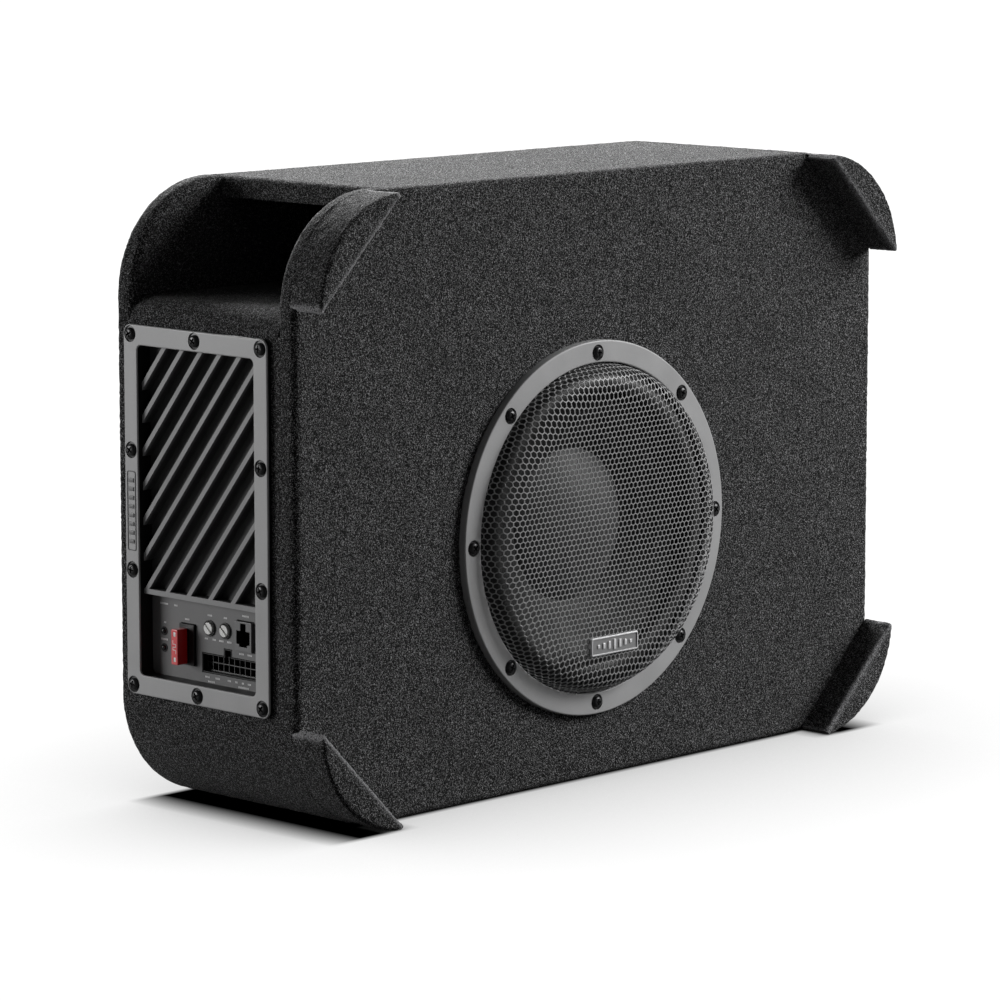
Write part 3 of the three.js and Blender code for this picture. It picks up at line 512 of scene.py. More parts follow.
class Effects:
    """Shader groups that several finishes share, each built once."""

    def __init__(self) -> None:
        """Builds the groups."""
        self.pile = self._pile()
        self.grain = self._grain()
        self.weave = self._weave()

    def _pile(self) -> bpy.types.NodeTree:
        """Needle-punched pile: curled tufts from warped noise, single light fibres, a slow drift in tone, and a painted
        edge highlight.
        """
        inputs = {
            "Deep": (COLOUR, (0.01, 0.01, 0.01, 1)),
            "Fibre": (COLOUR, (0.1, 0.1, 0.1, 1)),
            "Tip": (COLOUR, (0.3, 0.3, 0.3, 1)),
            "PaintedEdgeHighlight": (FLOAT, 0.0),
        }
        group, source, sink = open_group("pile", inputs, {"Color": COLOUR, "Height": FLOAT})
        place = add_node(group, "ShaderNodeTexCoord").outputs["Object"]
        warp = add_node(group, "ShaderNodeTexNoise", {"Vector": place, "Scale": 600.0, "Detail": 1.0}).outputs["Color"]
        pushed = add_node(group, "ShaderNodeVectorMath", {0: warp, "Scale": 0.0016}, operation="SCALE").outputs[0]
        curled = add_node(group, "ShaderNodeVectorMath", {0: place, 1: pushed}, operation="ADD").outputs[0]
        tufts, fibres = (
            add_node(group, "ShaderNodeTexNoise", {"Vector": curled, "Scale": scale, "Detail": 1.0, "Roughness": 0.6})
            .outputs["Fac"]
            for scale in (1250.0, 1850.0)
        )
        drift = add_node(group, "ShaderNodeTexNoise", {"Vector": place, "Scale": 28.0, "Detail": 2.0}).outputs["Fac"]
        lit = ramp(group, tufts, 0.46, 0.56)
        thread = ramp(group, fibres, 0.51, 0.58)
        base = mixed(group, lit, source.outputs["Deep"], source.outputs["Fibre"])
        fleck = maths(group, "MULTIPLY", thread, ramp(group, tufts, 0.46, 0.54))
        flecked = mixed(group, fleck, base, source.outputs["Tip"])
        # Painted highlight: pale grey mixed in where the edge mark is set, in place of light caught by the fibres on
        # lit edges.
        painted_highlight_mask = maths(group, "MULTIPLY", source.outputs["PaintedEdgeHighlight"], ramp(group, fibres, 0.36, 0.56))
        with_painted_highlight = mixed(group, painted_highlight_mask, flecked, (0.42, 0.42, 0.43, 1))
        shade = ramp(group, drift, 0.3, 0.7, 0.9, 1.1)
        toned = add_node(group, "ShaderNodeVectorMath", {0: with_painted_highlight, "Scale": shade}, operation="SCALE").outputs[0]
        height = maths(group, "ADD", tufts, maths(group, "MULTIPLY", fibres, 0.6))
        group.links.new(toned, sink.inputs["Color"])
        group.links.new(height, sink.inputs["Height"])
        return group

    def _grain(self) -> bpy.types.NodeTree:
        """Fine surface grain: a mask of small pits, and a slow patchy tone for uneven gloss and faint wear."""
        inputs = {"Size": (FLOAT, 1.0), "Drift": (FLOAT, 40.0)}
        group, source, sink = open_group("grain", inputs, {"Height": FLOAT, "Tone": FLOAT, "Patch": FLOAT})
        place = add_node(group, "ShaderNodeTexCoord").outputs["Object"]
        frequency = maths(group, "DIVIDE", 1000.0, source.outputs["Size"])
        fine = add_node(
            group, "ShaderNodeTexNoise",
            {"Vector": place, "Scale": frequency, "Detail": 3.0, "Roughness": 0.6}
        )
        slow = add_node(group, "ShaderNodeTexNoise", {"Vector": place, "Scale": source.outputs["Drift"], "Detail": 3.0})
        group.links.new(fine.outputs["Fac"], sink.inputs["Height"])
        group.links.new(ramp(group, fine.outputs["Fac"], 0.3, 0.7), sink.inputs["Tone"])
        group.links.new(ramp(group, slow.outputs["Fac"], 0.3, 0.7), sink.inputs["Patch"])
        return group

    def _weave(self) -> bpy.types.NodeTree:
        """Crossed threads: two wave bands at right angles, the higher one on top."""
        group, source, sink = open_group("weave", {"Pitch": (FLOAT, 1.0)}, {"Height": FLOAT, "Mask": FLOAT})
        place = add_node(group, "ShaderNodeTexCoord").outputs["Object"]
        frequency = maths(group, "DIVIDE", 1000.0, source.outputs["Pitch"])
        bands = [
            add_node(
                group, "ShaderNodeTexWave", {"Vector": place, "Scale": frequency, "Distortion": 0.4},
                bands_direction=axis
            )
            for axis in ("X", "Z")
        ]
        top = maths(group, "MAXIMUM", bands[0].outputs["Fac"], bands[1].outputs["Fac"])
        group.links.new(top, sink.inputs["Height"])
        group.links.new(ramp(group, top, 0.2, 0.9), sink.inputs["Mask"])
        return group


EFFECTS = Effects()
Colour = tuple[float, float, float]


def opaque(colour: Colour) -> tuple[float, float, float, float]:
    """A colour with full alpha."""
    return (*colour, 1.0)


def blank(name: str) -> tuple[bpy.types.Material, bpy.types.NodeTree, bpy.types.Node]:
    """A new material with its tree and its Principled shader."""
    material = bpy.data.materials.new(name)
    material.use_nodes = True
    tree = material.node_tree
    shader = tree.nodes["Principled BSDF"]
    return material, tree, shader


def group_node(tree: bpy.types.NodeTree, group: bpy.types.NodeTree, **inputs: Any) -> bpy.types.Node:
    """Places a shared group in a material's tree with its own values."""
    made = tree.nodes.new("ShaderNodeGroup")
    made.node_tree = group
    for name, value in inputs.items():
        made.inputs[name].default_value = value
    return made


def bump(
    tree: bpy.types.NodeTree, shader: bpy.types.Node, height: bpy.types.NodeSocket, distance: float,
    strength: float = 1.0
) -> None:
    """Feeds a height through a Bump node to the shader's normal; distance is in millimetres."""
    made = add_node(tree, "ShaderNodeBump", {"Height": height, "Distance": distance * MM, "Strength": strength})
    tree.links.new(made.outputs["Normal"], shader.inputs["Normal"])


@dataclass(frozen=True)
class Carpet:
    """Charcoal needle-punched carpet."""

    name: str = "charcoal_carpet"
    deep: Colour = (0.0008, 0.0008, 0.0009)
    fibre: Colour = (0.014, 0.014, 0.0145)
    tip: Colour = (0.285, 0.285, 0.289)
    relief: float = 0.8

    def build(self) -> bpy.types.Material:
        """Makes the material."""
        material, tree, shader = blank(self.name)
        pile = group_node(tree, EFFECTS.pile, Deep=opaque(self.deep), Fibre=opaque(self.fibre), Tip=opaque(self.tip))
        # The edge mark from the bumpers drives the pile's painted highlight.
        painted_edge_highlight = add_node(tree, "ShaderNodeAttribute", attribute_name="painted_edge_highlight").outputs["Fac"]
        tree.links.new(painted_edge_highlight, pile.inputs["PaintedEdgeHighlight"])
        tree.links.new(pile.outputs["Color"], shader.inputs["Base Color"])
        bump(tree, shader, pile.outputs["Height"], self.relief)
        shader.inputs["Roughness"].default_value = 0.95
        shader.inputs["Specular IOR Level"].default_value = 0.06
        shader.inputs["Sheen Weight"].default_value = 0.09
        shader.inputs["Sheen Roughness"].default_value = 0.6
        return material


@dataclass(frozen=True)
class Grained:
    """Painted, moulded or cast finish: a colour with fine grain, uneven gloss and a faint patchy tone."""

    name: str
    colour: Colour
    roughness: float = 0.45
    metallic: float = 0.0
    grain: float = 0.5
    depth: float = 0.02
    contrast: float = 0.12
    coat: float = 0.0
    specular: float = 0.5

    def build(self) -> bpy.types.Material:
        """Makes the material."""
        material, tree, shader = blank(self.name)
        grain = group_node(tree, EFFECTS.grain, Size=self.grain)
        darker = opaque(tuple(c * (1 - self.contrast) for c in self.colour))
        lighter = opaque(tuple(min(c * (1 + self.contrast), 1.0) for c in self.colour))
        tone = maths(
            tree, "ADD", maths(tree, "MULTIPLY", grain.outputs["Tone"], 0.5),
            maths(tree, "MULTIPLY", grain.outputs["Patch"], 0.5)
        )
        tree.links.new(mixed(tree, tone, darker, lighter), shader.inputs["Base Color"])
        gloss = ramp(tree, grain.outputs["Patch"], 0.0, 1.0, self.roughness - 0.05, self.roughness + 0.06)
        tree.links.new(gloss, shader.inputs["Roughness"])
        shader.inputs["Metallic"].default_value = self.metallic
        shader.inputs["Coat Weight"].default_value = self.coat
        shader.inputs["Specular IOR Level"].default_value = self.specular
        bump(tree, shader, grain.outputs["Height"], self.depth)
        return material


@dataclass(frozen=True)
class Woven:
    """Cloth of crossed threads."""

    name: str
    valley: Colour
    thread: Colour
    pitch: float = 1.0

    def build(self) -> bpy.types.Material:
        """Makes the material."""
        material, tree, shader = blank(self.name)
        weave = group_node(tree, EFFECTS.weave, Pitch=self.pitch)
        tree.links.new(
            mixed(tree, weave.outputs["Mask"], opaque(self.valley), opaque(self.thread)),
            shader.inputs["Base Color"]
        )
        shader.inputs["Roughness"].default_value = 0.85
        shader.inputs["Sheen Weight"].default_value = 0.2
        bump(tree, shader, weave.outputs["Height"], 0.15)
        return material


@dataclass(frozen=True)
class Board:
    """Medium-density fibreboard: pressed fibres in long faint streaks, and black inside the port, both black paint and
    painted shade of the deep port.
    """

    name: str = "fibreboard"
    dark: Colour = (0.20, 0.13, 0.07)
    light: Colour = (0.36, 0.25, 0.14)
    paint: Colour = (0.006, 0.006, 0.006)

    def build(self) -> bpy.types.Material:
        """Makes the material."""
        material, tree, shader = blank(self.name)
        place = add_node(tree, "ShaderNodeTexCoord").outputs["Object"]
        streaks = add_node(tree, "ShaderNodeMapping", {"Vector": place, "Scale": (60.0, 300.0, 300.0)}).outputs[0]
        fibres = add_node(
            tree, "ShaderNodeTexNoise", {"Vector": streaks, "Scale": 4.0, "Detail": 5.0, "Roughness": 0.7}
        )
        mask = ramp(tree, fibres.outputs["Fac"], 0.3, 0.7)
        raw = mixed(tree, mask, opaque(self.dark), opaque(self.light))
        # Inside the port the board is black: black paint, and also painted shade where the deep port lies in shadow.
        axes = add_node(tree, "ShaderNodeSeparateXYZ", {0: place})
        above = ramp(tree, axes.outputs["Z"], 0.2731, 0.2733)
        below = ramp(tree, axes.outputs["Z"], 0.3252, 0.3250)
        between = ramp(tree, maths(tree, "ABSOLUTE", axes.outputs["Y"]), 0.0582, 0.0580)
        painted = maths(tree, "MULTIPLY", maths(tree, "MULTIPLY", above, below), between)
        tree.links.new(mixed(tree, painted, raw, opaque(self.paint)), shader.inputs["Base Color"])
        shader.inputs["Roughness"].default_value = 0.85
        bump(tree, shader, fibres.outputs["Fac"], 0.08)
        return material


@dataclass(frozen=True)
class Sink:
    """Cast heatsink: trim paint on top, with painted shade that falls to black between the fins, down to a plain
    control plate.
    """

    name: str = "heatsink_casting"
    top: Colour = (0.26, 0.26, 0.263)
    plate: Colour = (0.135, 0.135, 0.137)
    # Painted shade colour for the gaps between the fins.
    gap: Colour = (0.040, 0.040, 0.041)
    top_x: float = -231.3
    floor_x: float = -228.5
    ledge_z: float = 117.05

    def build(self) -> bpy.types.Material:
        """Makes the material: a depth mask along X paints shade into the gaps above the ledge, and the plate keeps its
        paint.
        """
        material, tree, shader = blank(self.name)
        grain = group_node(tree, EFFECTS.grain, Size=0.5)
        place = add_node(tree, "ShaderNodeTexCoord").outputs["Object"]
        axes = add_node(tree, "ShaderNodeSeparateXYZ", {0: place})
        # Painted shade: deeper between the fins, the colour falls to the darker gap colour.
        deep = ramp(tree, axes.outputs["X"], self.top_x * MM, self.floor_x * MM)
        above = ramp(tree, axes.outputs["Z"], (self.ledge_z - 0.5) * MM, self.ledge_z * MM)
        body = mixed(tree, deep, opaque(self.top), opaque(self.gap))
        painted = mixed(tree, above, opaque(self.plate), body)
        tone = ramp(tree, grain.outputs["Tone"], 0.0, 1.0, 0.9, 1.1)
        shaded = add_node(tree, "ShaderNodeVectorMath", {0: painted, "Scale": tone}, operation="SCALE").outputs[0]
        tree.links.new(shaded, shader.inputs["Base Color"])
        tree.links.new(ramp(tree, grain.outputs["Patch"], 0.0, 1.0, 0.42, 0.55), shader.inputs["Roughness"])
        bump(tree, shader, grain.outputs["Height"], 0.02)
        return material


class Finish(Enum):
    """Every finish on the object."""

    CARPET = Carpet()
    BOARD = Board()
    TRIM = Grained("satin_grey_trim", (0.41, 0.41, 0.413), roughness=0.45, grain=0.45, depth=0.018)
    HEATSINK = Sink()
    MESH = Grained("grille_wire", (0.37, 0.37, 0.373), roughness=0.5, metallic=0.1, grain=0.7, depth=0.01)
    BADGE = Grained("brushed_badge", (0.85, 0.85, 0.86), roughness=0.35, metallic=0.25, grain=0.3, depth=0.01)
    BADGE_FIELD = Grained("badge_field", (0.27, 0.27, 0.273), roughness=0.4, metallic=0.2, grain=0.3)
    SCREW = Grained("black_screw", (0.030, 0.030, 0.031), roughness=0.32, metallic=0.5, grain=0.4, depth=0.008)
    PAPER = Grained("cone_paper", (0.009, 0.009, 0.0093), roughness=0.62, grain=1.6, depth=0.12, contrast=0.25)
    CAP = Grained("dust_cap_paper", (0.072, 0.072, 0.073), roughness=0.62, grain=1.2, depth=0.05, contrast=0.2)
    RUBBER = Grained("butyl_rubber", (0.010, 0.010, 0.010), roughness=0.5, grain=0.8, depth=0.03)
    CLOTH = Woven("spider_cloth", (0.16, 0.09, 0.03), (0.44, 0.30, 0.12), pitch=1.1)
    COPPER = Grained("copper_winding", (0.75, 0.34, 0.15), roughness=0.35, metallic=1.0, grain=0.4)
    STEEL = Grained("plated_steel", (0.45, 0.46, 0.47), roughness=0.35, metallic=1.0, grain=0.6)
    FERRITE = Grained("ferrite", (0.05, 0.05, 0.052), roughness=0.75, grain=1.0, depth=0.08, contrast=0.3)
    BASKET = Grained("cast_frame_black", (0.014, 0.014, 0.015), roughness=0.5, grain=0.8, depth=0.04)
    BOARD_GREEN = Grained("circuit_board", (0.015, 0.07, 0.03), roughness=0.4, grain=2.5, contrast=0.4)
    BLACK = Grained("black_moulding", (0.007, 0.007, 0.0073), roughness=0.45, grain=0.5, depth=0.012, specular=0.3)
    # A lighter copy of the black moulding: a painted highlight on the header's wall fronts.
    WALL_HIGHLIGHT = Grained("connector_wall_highlight", (0.030, 0.030, 0.031), roughness=0.4, grain=0.5, depth=0.01)
    GREY = Grained("grey_moulding", (0.15, 0.15, 0.153), roughness=0.45, grain=0.5, depth=0.012)
    WHITE = Grained("white_moulding", (0.90, 0.90, 0.88), roughness=0.35, grain=0.5, contrast=0.05)
    RED = Grained("fuse_red", (0.72, 0.012, 0.014), roughness=0.22, grain=0.8, contrast=0.06, coat=0.4)
    # A lighter copy of the fuse red for the fuse's front face: a painted highlight.
    RED_HIGHLIGHT = Grained("fuse_red_painted_highlight", (0.86, 0.11, 0.12), roughness=0.25, grain=0.8, contrast=0.06, coat=0.4)
    GOLD = Grained("contact_plating", (0.55, 0.50, 0.42), roughness=0.28, metallic=1.0, grain=0.3)
    LAMP = Grained("smoked_lens", (0.012, 0.012, 0.013), roughness=0.08, grain=0.4, depth=0.002, coat=0.6)
    PRINT = Grained("pad_print", (0.88, 0.88, 0.88), roughness=0.5, grain=0.3, contrast=0.08)

    def material(self) -> bpy.types.Material:
        """The finish's material, made the first time it is asked for."""
        return bpy.data.materials.get(self.value.name) or self.value.build()


def dress(thing: bpy.types.Object, *finishes: Finish) -> bpy.types.Object:
    """Gives an object its materials, in slot order."""
    thing.data.materials.clear()
    for finish in finishes:
        thing.data.materials.append(finish.material())
    return thing


def place_piece(thing: bpy.types.Object, body: Body, slot: Slot, *nodes: str) -> bpy.types.Object:
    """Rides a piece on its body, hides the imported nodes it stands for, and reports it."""
    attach(thing, body.value)
    if nodes:
        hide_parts(*nodes)
    log.info("%s: %d faces on %s", thing.name, len(thing.data.polygons), body.value)
    return thing


def show_parts(
    name: str, parts: Sequence[Surface], finish: Finish, body: Body, slot: Slot, *nodes: str, sharp: float = 0.0
) -> bpy.types.Object:
    """Makes one piece of some surfaces, with edges sharper than an angle in degrees crisp where one is given."""
    thing = dress(to_object(name, Surface.joined(parts)), finish)
    if sharp:
        thing.data.set_sharp_from_angle(angle=math.radians(sharp))
    return place_piece(thing, body, slot, *nodes)


# ---------------------------------------------------------------- carpeted cabinet


@dataclass
class Pile:
    """How far and how finely the carpet's surface rises and falls, in millimetres."""

    cell: float = 1.5
    height: float = 0.30
    curl_cell: float = 3.0
    curl: float = 0.08
    drift_cell: float = 22.0
    drift: float = 0.04

    def raised(self, surface: Surface) -> Surface:
        """Swells a surface along its lift by lattice noise of three sizes added together."""
        points = surface.points
        rise = self.height * lattice_noise(points, self.cell, 11)
        rise += self.curl * lattice_noise(points, self.curl_cell, 23)
        rise += self.drift * lattice_noise(points, self.drift_cell, 37)
        aside = np.stack([lattice_noise(points, self.cell, seed) for seed in (5, 6, 7)], -1) * 0.25
        shown = (np.linalg.norm(surface.lift, axis=1, keepdims=True) > 0.5) * 1.0
        aside -= surface.lift * np.sum(aside * surface.lift, axis=1, keepdims=True)
        swollen = points + surface.lift * rise[:, None] + aside * shown
        swollen[:, 2] = np.maximum(swollen[:, 2], np.minimum(points[:, 2], 0.1))
        return Surface(swollen, surface.quads, surface.tris, surface.lift)


@dataclass
class CarpetedCabinet:
    """The cabinet's carpet: a skin on each face, and on each stretch of the rim between them.

    Sizes are in millimetres. step is the spacing of the skins' points, edge the radius of the carpet round the
    cabinet's long edges, seam the half depth at which the face skins meet the rim skins, hole_sides the sides of the
    amplifier's opening as shares of that half depth.
    """

    corner: float = 61.0
    step: float = 1.4
    edge: float = 4.5
    seam: float = 64.6
    thick: float = 2.0
    calm: float = 0.25
    hole: float = 103.9
    floor_round: float = 14.3
    lining_y: float = 55.9
    board_y: float = 57.3
    board_underside: float = 324.7
    lining_end: float = -101.5
    mouth_x: float = -165.6
    hole_sides: tuple[float, float] = (-0.74, 0.78)
    pile: Pile = field(default_factory=Pile)

    def __post_init__(self) -> None:
        """Takes the cabinet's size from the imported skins."""
        low, high = span("carpet_front")
        self.half_width = float(high[0] - low[0]) / 2
        self.height = float(high[2])
        self.face_y = float(low[1])
        self.flat_x = self.half_width - self.corner
        ring_low, ring_high = span("grille_ring")
        self.woofer = ((ring_low + ring_high) / 2)[[0, 2]]
        self.floor_z = float(span("carpet_left")[1][2])
        self.bezel_low, self.bezel_high = span("amp_bezel")

    def build(self) -> None:
        """Builds every skin."""
        self.face_skin("front", True)
        self.face_skin("back", False)
        self.rim_skins()

    def finish(self, name: str, surface: Surface, node: str, fill: bool = False) -> bpy.types.Object:
        """Raises a skin's pile, makes its object and dresses it."""
        thing = to_object(name, self.pile.raised(surface), fill=fill)
        crisp(thing, 75)
        dress(thing, Finish.CARPET)
        return place_piece(thing, Body.ENCLOSURE, Slot.CARPET, node)

    def heights(self, inset: float) -> tuple[Array, Array]:
        """Row heights of a face inset from its outline, and the half width of each row.

        In the corners the rows are even steps of angle phi: z = r - (r - inset) cos phi and half width =
        flat_x + (r - inset) sin phi. Between the corners they are even steps of height.
        """
        turns = int(round(self.corner * math.pi / 2 / self.step))
        cos, sin = arc(0, 90, turns + 1)
        low_z = self.corner - (self.corner - inset) * cos
        low_half = self.flat_x + (self.corner - inset) * sin
        count = int(round((self.height - 2 * self.corner) / self.step))
        middle_z = np.linspace(self.corner, self.height - self.corner, count + 1)[1:-1]
        middle_half = np.full(len(middle_z), low_half[-1])
        z = np.concatenate([low_z, middle_z, self.height - low_z[::-1]])
        return z, np.concatenate([low_half, middle_half, low_half[::-1]])

    def face_skin(self, side: str, front: bool) -> bpy.types.Object:
        """One face: a grid whose rows stretch to the rounded outline, rolled over the edge and closed behind.

        A point of the flat is (u w(z), face_y, z) with u from -1 to 1 and w the row's half width. The rolled edge
        carries the outline out by edge sin b and back by edge (1 - cos b).
        """
        z, half = self.heights(self.edge)
        columns = int(round(2 * self.half_width / self.step))
        u = np.linspace(-1, 1, columns + 1)
        flat = np.zeros((len(z), len(u), 3))
        flat[:, :, 0] = half[:, None] * u
        flat[:, :, 1] = self.face_y
        flat[:, :, 2] = z[:, None]
        lift = np.zeros_like(flat)
        lift[:, :, 1] = -1
        face = Surface.grid(flat, lift=lift)
        if front:
            face = self.with_woofer_hole(face)
        loop, outward = self.outline_loop(flat)
        rim = self.rolled_edge(loop, outward)
        parts = [face, rim]
        body = Surface.joined(parts)
        lip = self.port_lip()
        if not front:
            flip = np.array([1, -1, 1])
            body = body.mapped(lambda p: p * flip)
            lip = lip.mapped(lambda p: p * flip)
        skin = to_object(f"carpet_skin_{side}", self.pile.raised(body), fill=True)
        collar = to_object("collar", self.pile.raised(lip))
        self.absorb(skin, collar)
        crisp(skin, 75)
        dress(skin, Finish.CARPET)
        return place_piece(skin, Body.ENCLOSURE, Slot.CARPET, f"carpet_{side}")

    def absorb(self, thing: bpy.types.Object, extra: bpy.types.Object) -> None:
        """Adds a second object's mesh to the first and removes the second."""
        form = bmesh.new()
        form.from_mesh(thing.data)
        form.from_mesh(extra.data)
        form.to_mesh(thing.data)
        form.free()
        mesh = extra.data
        bpy.data.objects.remove(extra)
        bpy.data.meshes.remove(mesh)

    def outline_loop(self, flat: Array) -> tuple[Array, Array]:
        """The grid's border as one loop, with its outward direction.

        Above and below, the direction is straight up or down. On the sides it turns with the corner: the point
        less the corner's centre, or straight out between the corners.
        """
        bottom, right = flat[0, :-1], flat[:-1, -1]
        top, left = flat[-1, :0:-1], flat[:0:-1, 0]
        loop = np.concatenate([bottom, right, top, left])
        centre_x = np.clip(loop[:, 0], -self.flat_x, self.flat_x)
        centre_z = np.clip(loop[:, 2], self.corner, self.height - self.corner)
        out = np.stack([loop[:, 0] - centre_x, np.zeros(len(loop)), loop[:, 2] - centre_z], -1)
        return loop, out / np.linalg.norm(out, axis=1, keepdims=True)

    def rolled_edge(self, loop: Array, outward: Array) -> Surface:
        """Rows that carry the outline round the edge, along the side to the seam, and back behind the skin."""
        cos, sin = arc(0, 90, 6)
        back_y = self.face_y + self.thick
        fade = np.interp(sin, [0.7, 1.0], [1.0, self.calm])
        rows = [(self.edge * s, self.face_y + self.edge * (1 - c), s * f, c * f) for c, s, f in zip(cos, sin, fade)]
        rows.append((self.edge, -self.seam, self.calm, 0.0))
        rows += [(self.edge - self.thick, -self.seam, 0.0, 0.0), (self.edge - self.thick, back_y, 0.0, 0.0)]
        points = np.stack([loop + outward * out + np.array([0, y - self.face_y, 0]) for out, y, _, _ in rows])
        lift = np.stack([outward * s + np.array([0, -c, 0]) for _, _, s, c in rows])
        return Surface.grid(points, wrap_columns=True, lift=lift)

    def with_woofer_hole(self, face: Surface) -> Surface:
        """Drops the quads inside the woofer's hole, draws the loose border on to its circle, and turns it back."""
        centre = np.array([self.woofer[0], self.face_y, self.woofer[1]])
        away = (face.points - centre)[:, [0, 2]]
        middle = face.points[face.quads].mean(1)
        inside = np.linalg.norm((middle - centre)[:, [0, 2]], axis=1) < self.hole
        kept = face.quads[~inside]
        border = np.intersect1d(np.unique(face.quads[inside]), np.unique(kept))
        distance = np.linalg.norm(away[border], axis=1, keepdims=True)
        snapped = away[border] / distance * self.hole
        points = face.points.copy()
        points[border, 0] = centre[0] + snapped[:, 0]
        points[border, 2] = centre[2] + snapped[:, 1]
        wall = self.hole_wall(kept, border, points)
        used, index = np.unique(kept, return_inverse=True)
        front = Surface(points[used], index.reshape(kept.shape), lift=face.lift[used])
        return Surface.joined([front, wall])

    def hole_wall(self, kept: Array, border: Array, points: Array) -> Surface:
        """A wall of quads from each border edge of the hole straight back through the skin."""
        edges = np.concatenate([kept[:, [k, (k + 1) % 4]] for k in range(4)])
        on_hole = np.isin(edges, border).all(1)
        edges = edges[on_hole]
        ordered = np.sort(edges, axis=1)
        _, first, count = np.unique(ordered, axis=0, return_index=True, return_counts=True)
        single = edges[first[count == 1]]
        near = points[single]
        far = near + np.array([0, self.thick, 0])
        corners = np.stack([near[:, 0], near[:, 1], far[:, 1], far[:, 0]], 1)
        lift = np.zeros_like(corners)
        lift[:, :2, 1] = -1
        return Surface(corners.reshape(-1, 3), np.arange(len(corners) * 4).reshape(-1, 4), lift=lift.reshape(-1, 3))

    def port_lip(self) -> Surface:
        """Carpet over the face board's edge at the port's mouth, and the lining on the board's inner face.

        The lip is one section, straight from the seam and rolled inwards, carried along the rim from the mouth's
        end round the corner to the port's floor. The lining is two thin slabs whose rows reach to the rim.
        """
        path, outward = self.mouth_path()
        cos, sin = arc(0, 90, 6)
        roll_y = -self.lining_y - self.edge
        section = [(0.0, -self.seam), (0.0, (roll_y - self.seam) / 2)]
        facing = [(1.0, 0.0), (1.0, 0.0)]
        section += [(self.edge * (1 - c), roll_y + self.edge * s) for c, s in zip(cos, sin)]
        facing += list(zip(cos, sin))
        section += [(7.0, -self.lining_y), (7.0, -self.board_y), (self.thick, -self.board_y), (self.thick, -self.seam)]
        facing += [(0.0, 1.0)] + [(0.0, 0.0)] * 3
        depth, y = np.array(section).T
        points = path[:, None] - outward[:, None] * depth[None, :, None]
        points[:, :, 1] = y
        out, back = np.array(facing).T
        lift = outward[:, None] * out[None, :, None]
        lift[:, :, 1] = back
        return Surface.joined([tube(points, lift), *self.linings()])

    def mouth_path(self) -> tuple[Array, Array]:
        """Points along the rim from the mouth's end, round the upper left corner, down to the floor's edge."""
        turns = int(round(self.corner * math.pi / 2 / self.step))
        cos, sin = arc(90, 180, turns + 1)
        top = np.array([[self.mouth_x - 0.3, self.height], [(self.mouth_x - self.flat_x) / 2, self.height]])
        corner = np.stack([-self.flat_x + self.corner * cos, self.height - self.corner + self.corner * sin], -1)
        down_z = np.arange(self.height - self.corner - self.step, self.floor_z - self.floor_round, -self.step)
        down = np.stack([np.full(len(down_z), -self.half_width), down_z], -1)
        flat = np.concatenate([top, corner, down])
        flat[1] = [(self.mouth_x - 0.3 - self.flat_x) / 2, self.height]
        path = np.stack([flat[:, 0], np.zeros(len(flat)), flat[:, 1]], -1)
        centre = np.stack(
            [
                np.maximum(flat[:, 0], -self.flat_x), np.zeros(len(flat)),
                np.minimum(flat[:, 1], self.height - self.corner)
            ],
            -1
        )
        out = path - centre
        return path, out / np.linalg.norm(out, axis=1, keepdims=True)

    def linings(self) -> list[Surface]:
        """Slabs on the board's inner face: to the lining's end below the top board, and to the mouth above it."""
        slabs = []
        for low, high, end in (
            (self.floor_z + 0.3, self.board_underside - 0.3, self.lining_end),
            (self.board_underside - 0.3, self.height - 6.5, self.mouth_x - 0.3)
        ):
            rows = max(int(round((high - low) / 2.0)), 2)
            z = np.linspace(low, high, rows + 1)
            reach = self.corner - 6.5
            start = -self.flat_x - np.sqrt(
                np.maximum(reach**2 - np.maximum(z - (self.height - self.corner), 0) ** 2, 0)
            )
            columns = int(round((end + self.half_width) / 2.0))
            t = np.linspace(0, 1, columns + 1)
            sheet = np.zeros((len(z), len(t), 3))
            sheet[:, :, 0] = start[:, None] + (end - start)[:, None] * t
            sheet[:, :, 2] = z[:, None]
            slabs.append(self.slab(sheet, -self.lining_y, -self.board_y))
        return slabs

    def slab(self, sheet: Array, shown_y: float, hidden_y: float) -> Surface:
        """A sheet and its copy behind it, joined round the border: rows wrap over front and back."""
        shown, hidden = sheet.copy(), sheet[:, ::-1].copy()
        shown[:, :, 1] = shown_y
        hidden[:, :, 1] = hidden_y
        both = np.concatenate([shown, hidden], axis=1)
        lift = np.zeros_like(both)
        lift[:, : sheet.shape[1], 1] = 1
        shell = Surface.grid(both, wrap_columns=True, lift=lift)
        width = both.shape[1]
        half = sheet.shape[1]
        last = (len(sheet) - 1) * width
        across = np.arange(half - 1)
        ends = [
            np.stack([row + across, row + across + 1, row + width - 2 - across, row + width - 1 - across], -1)
            for row in (0, last)
        ]
        return Surface(shell.points, np.concatenate([shell.quads, *ends]), shell.tris, shell.lift)

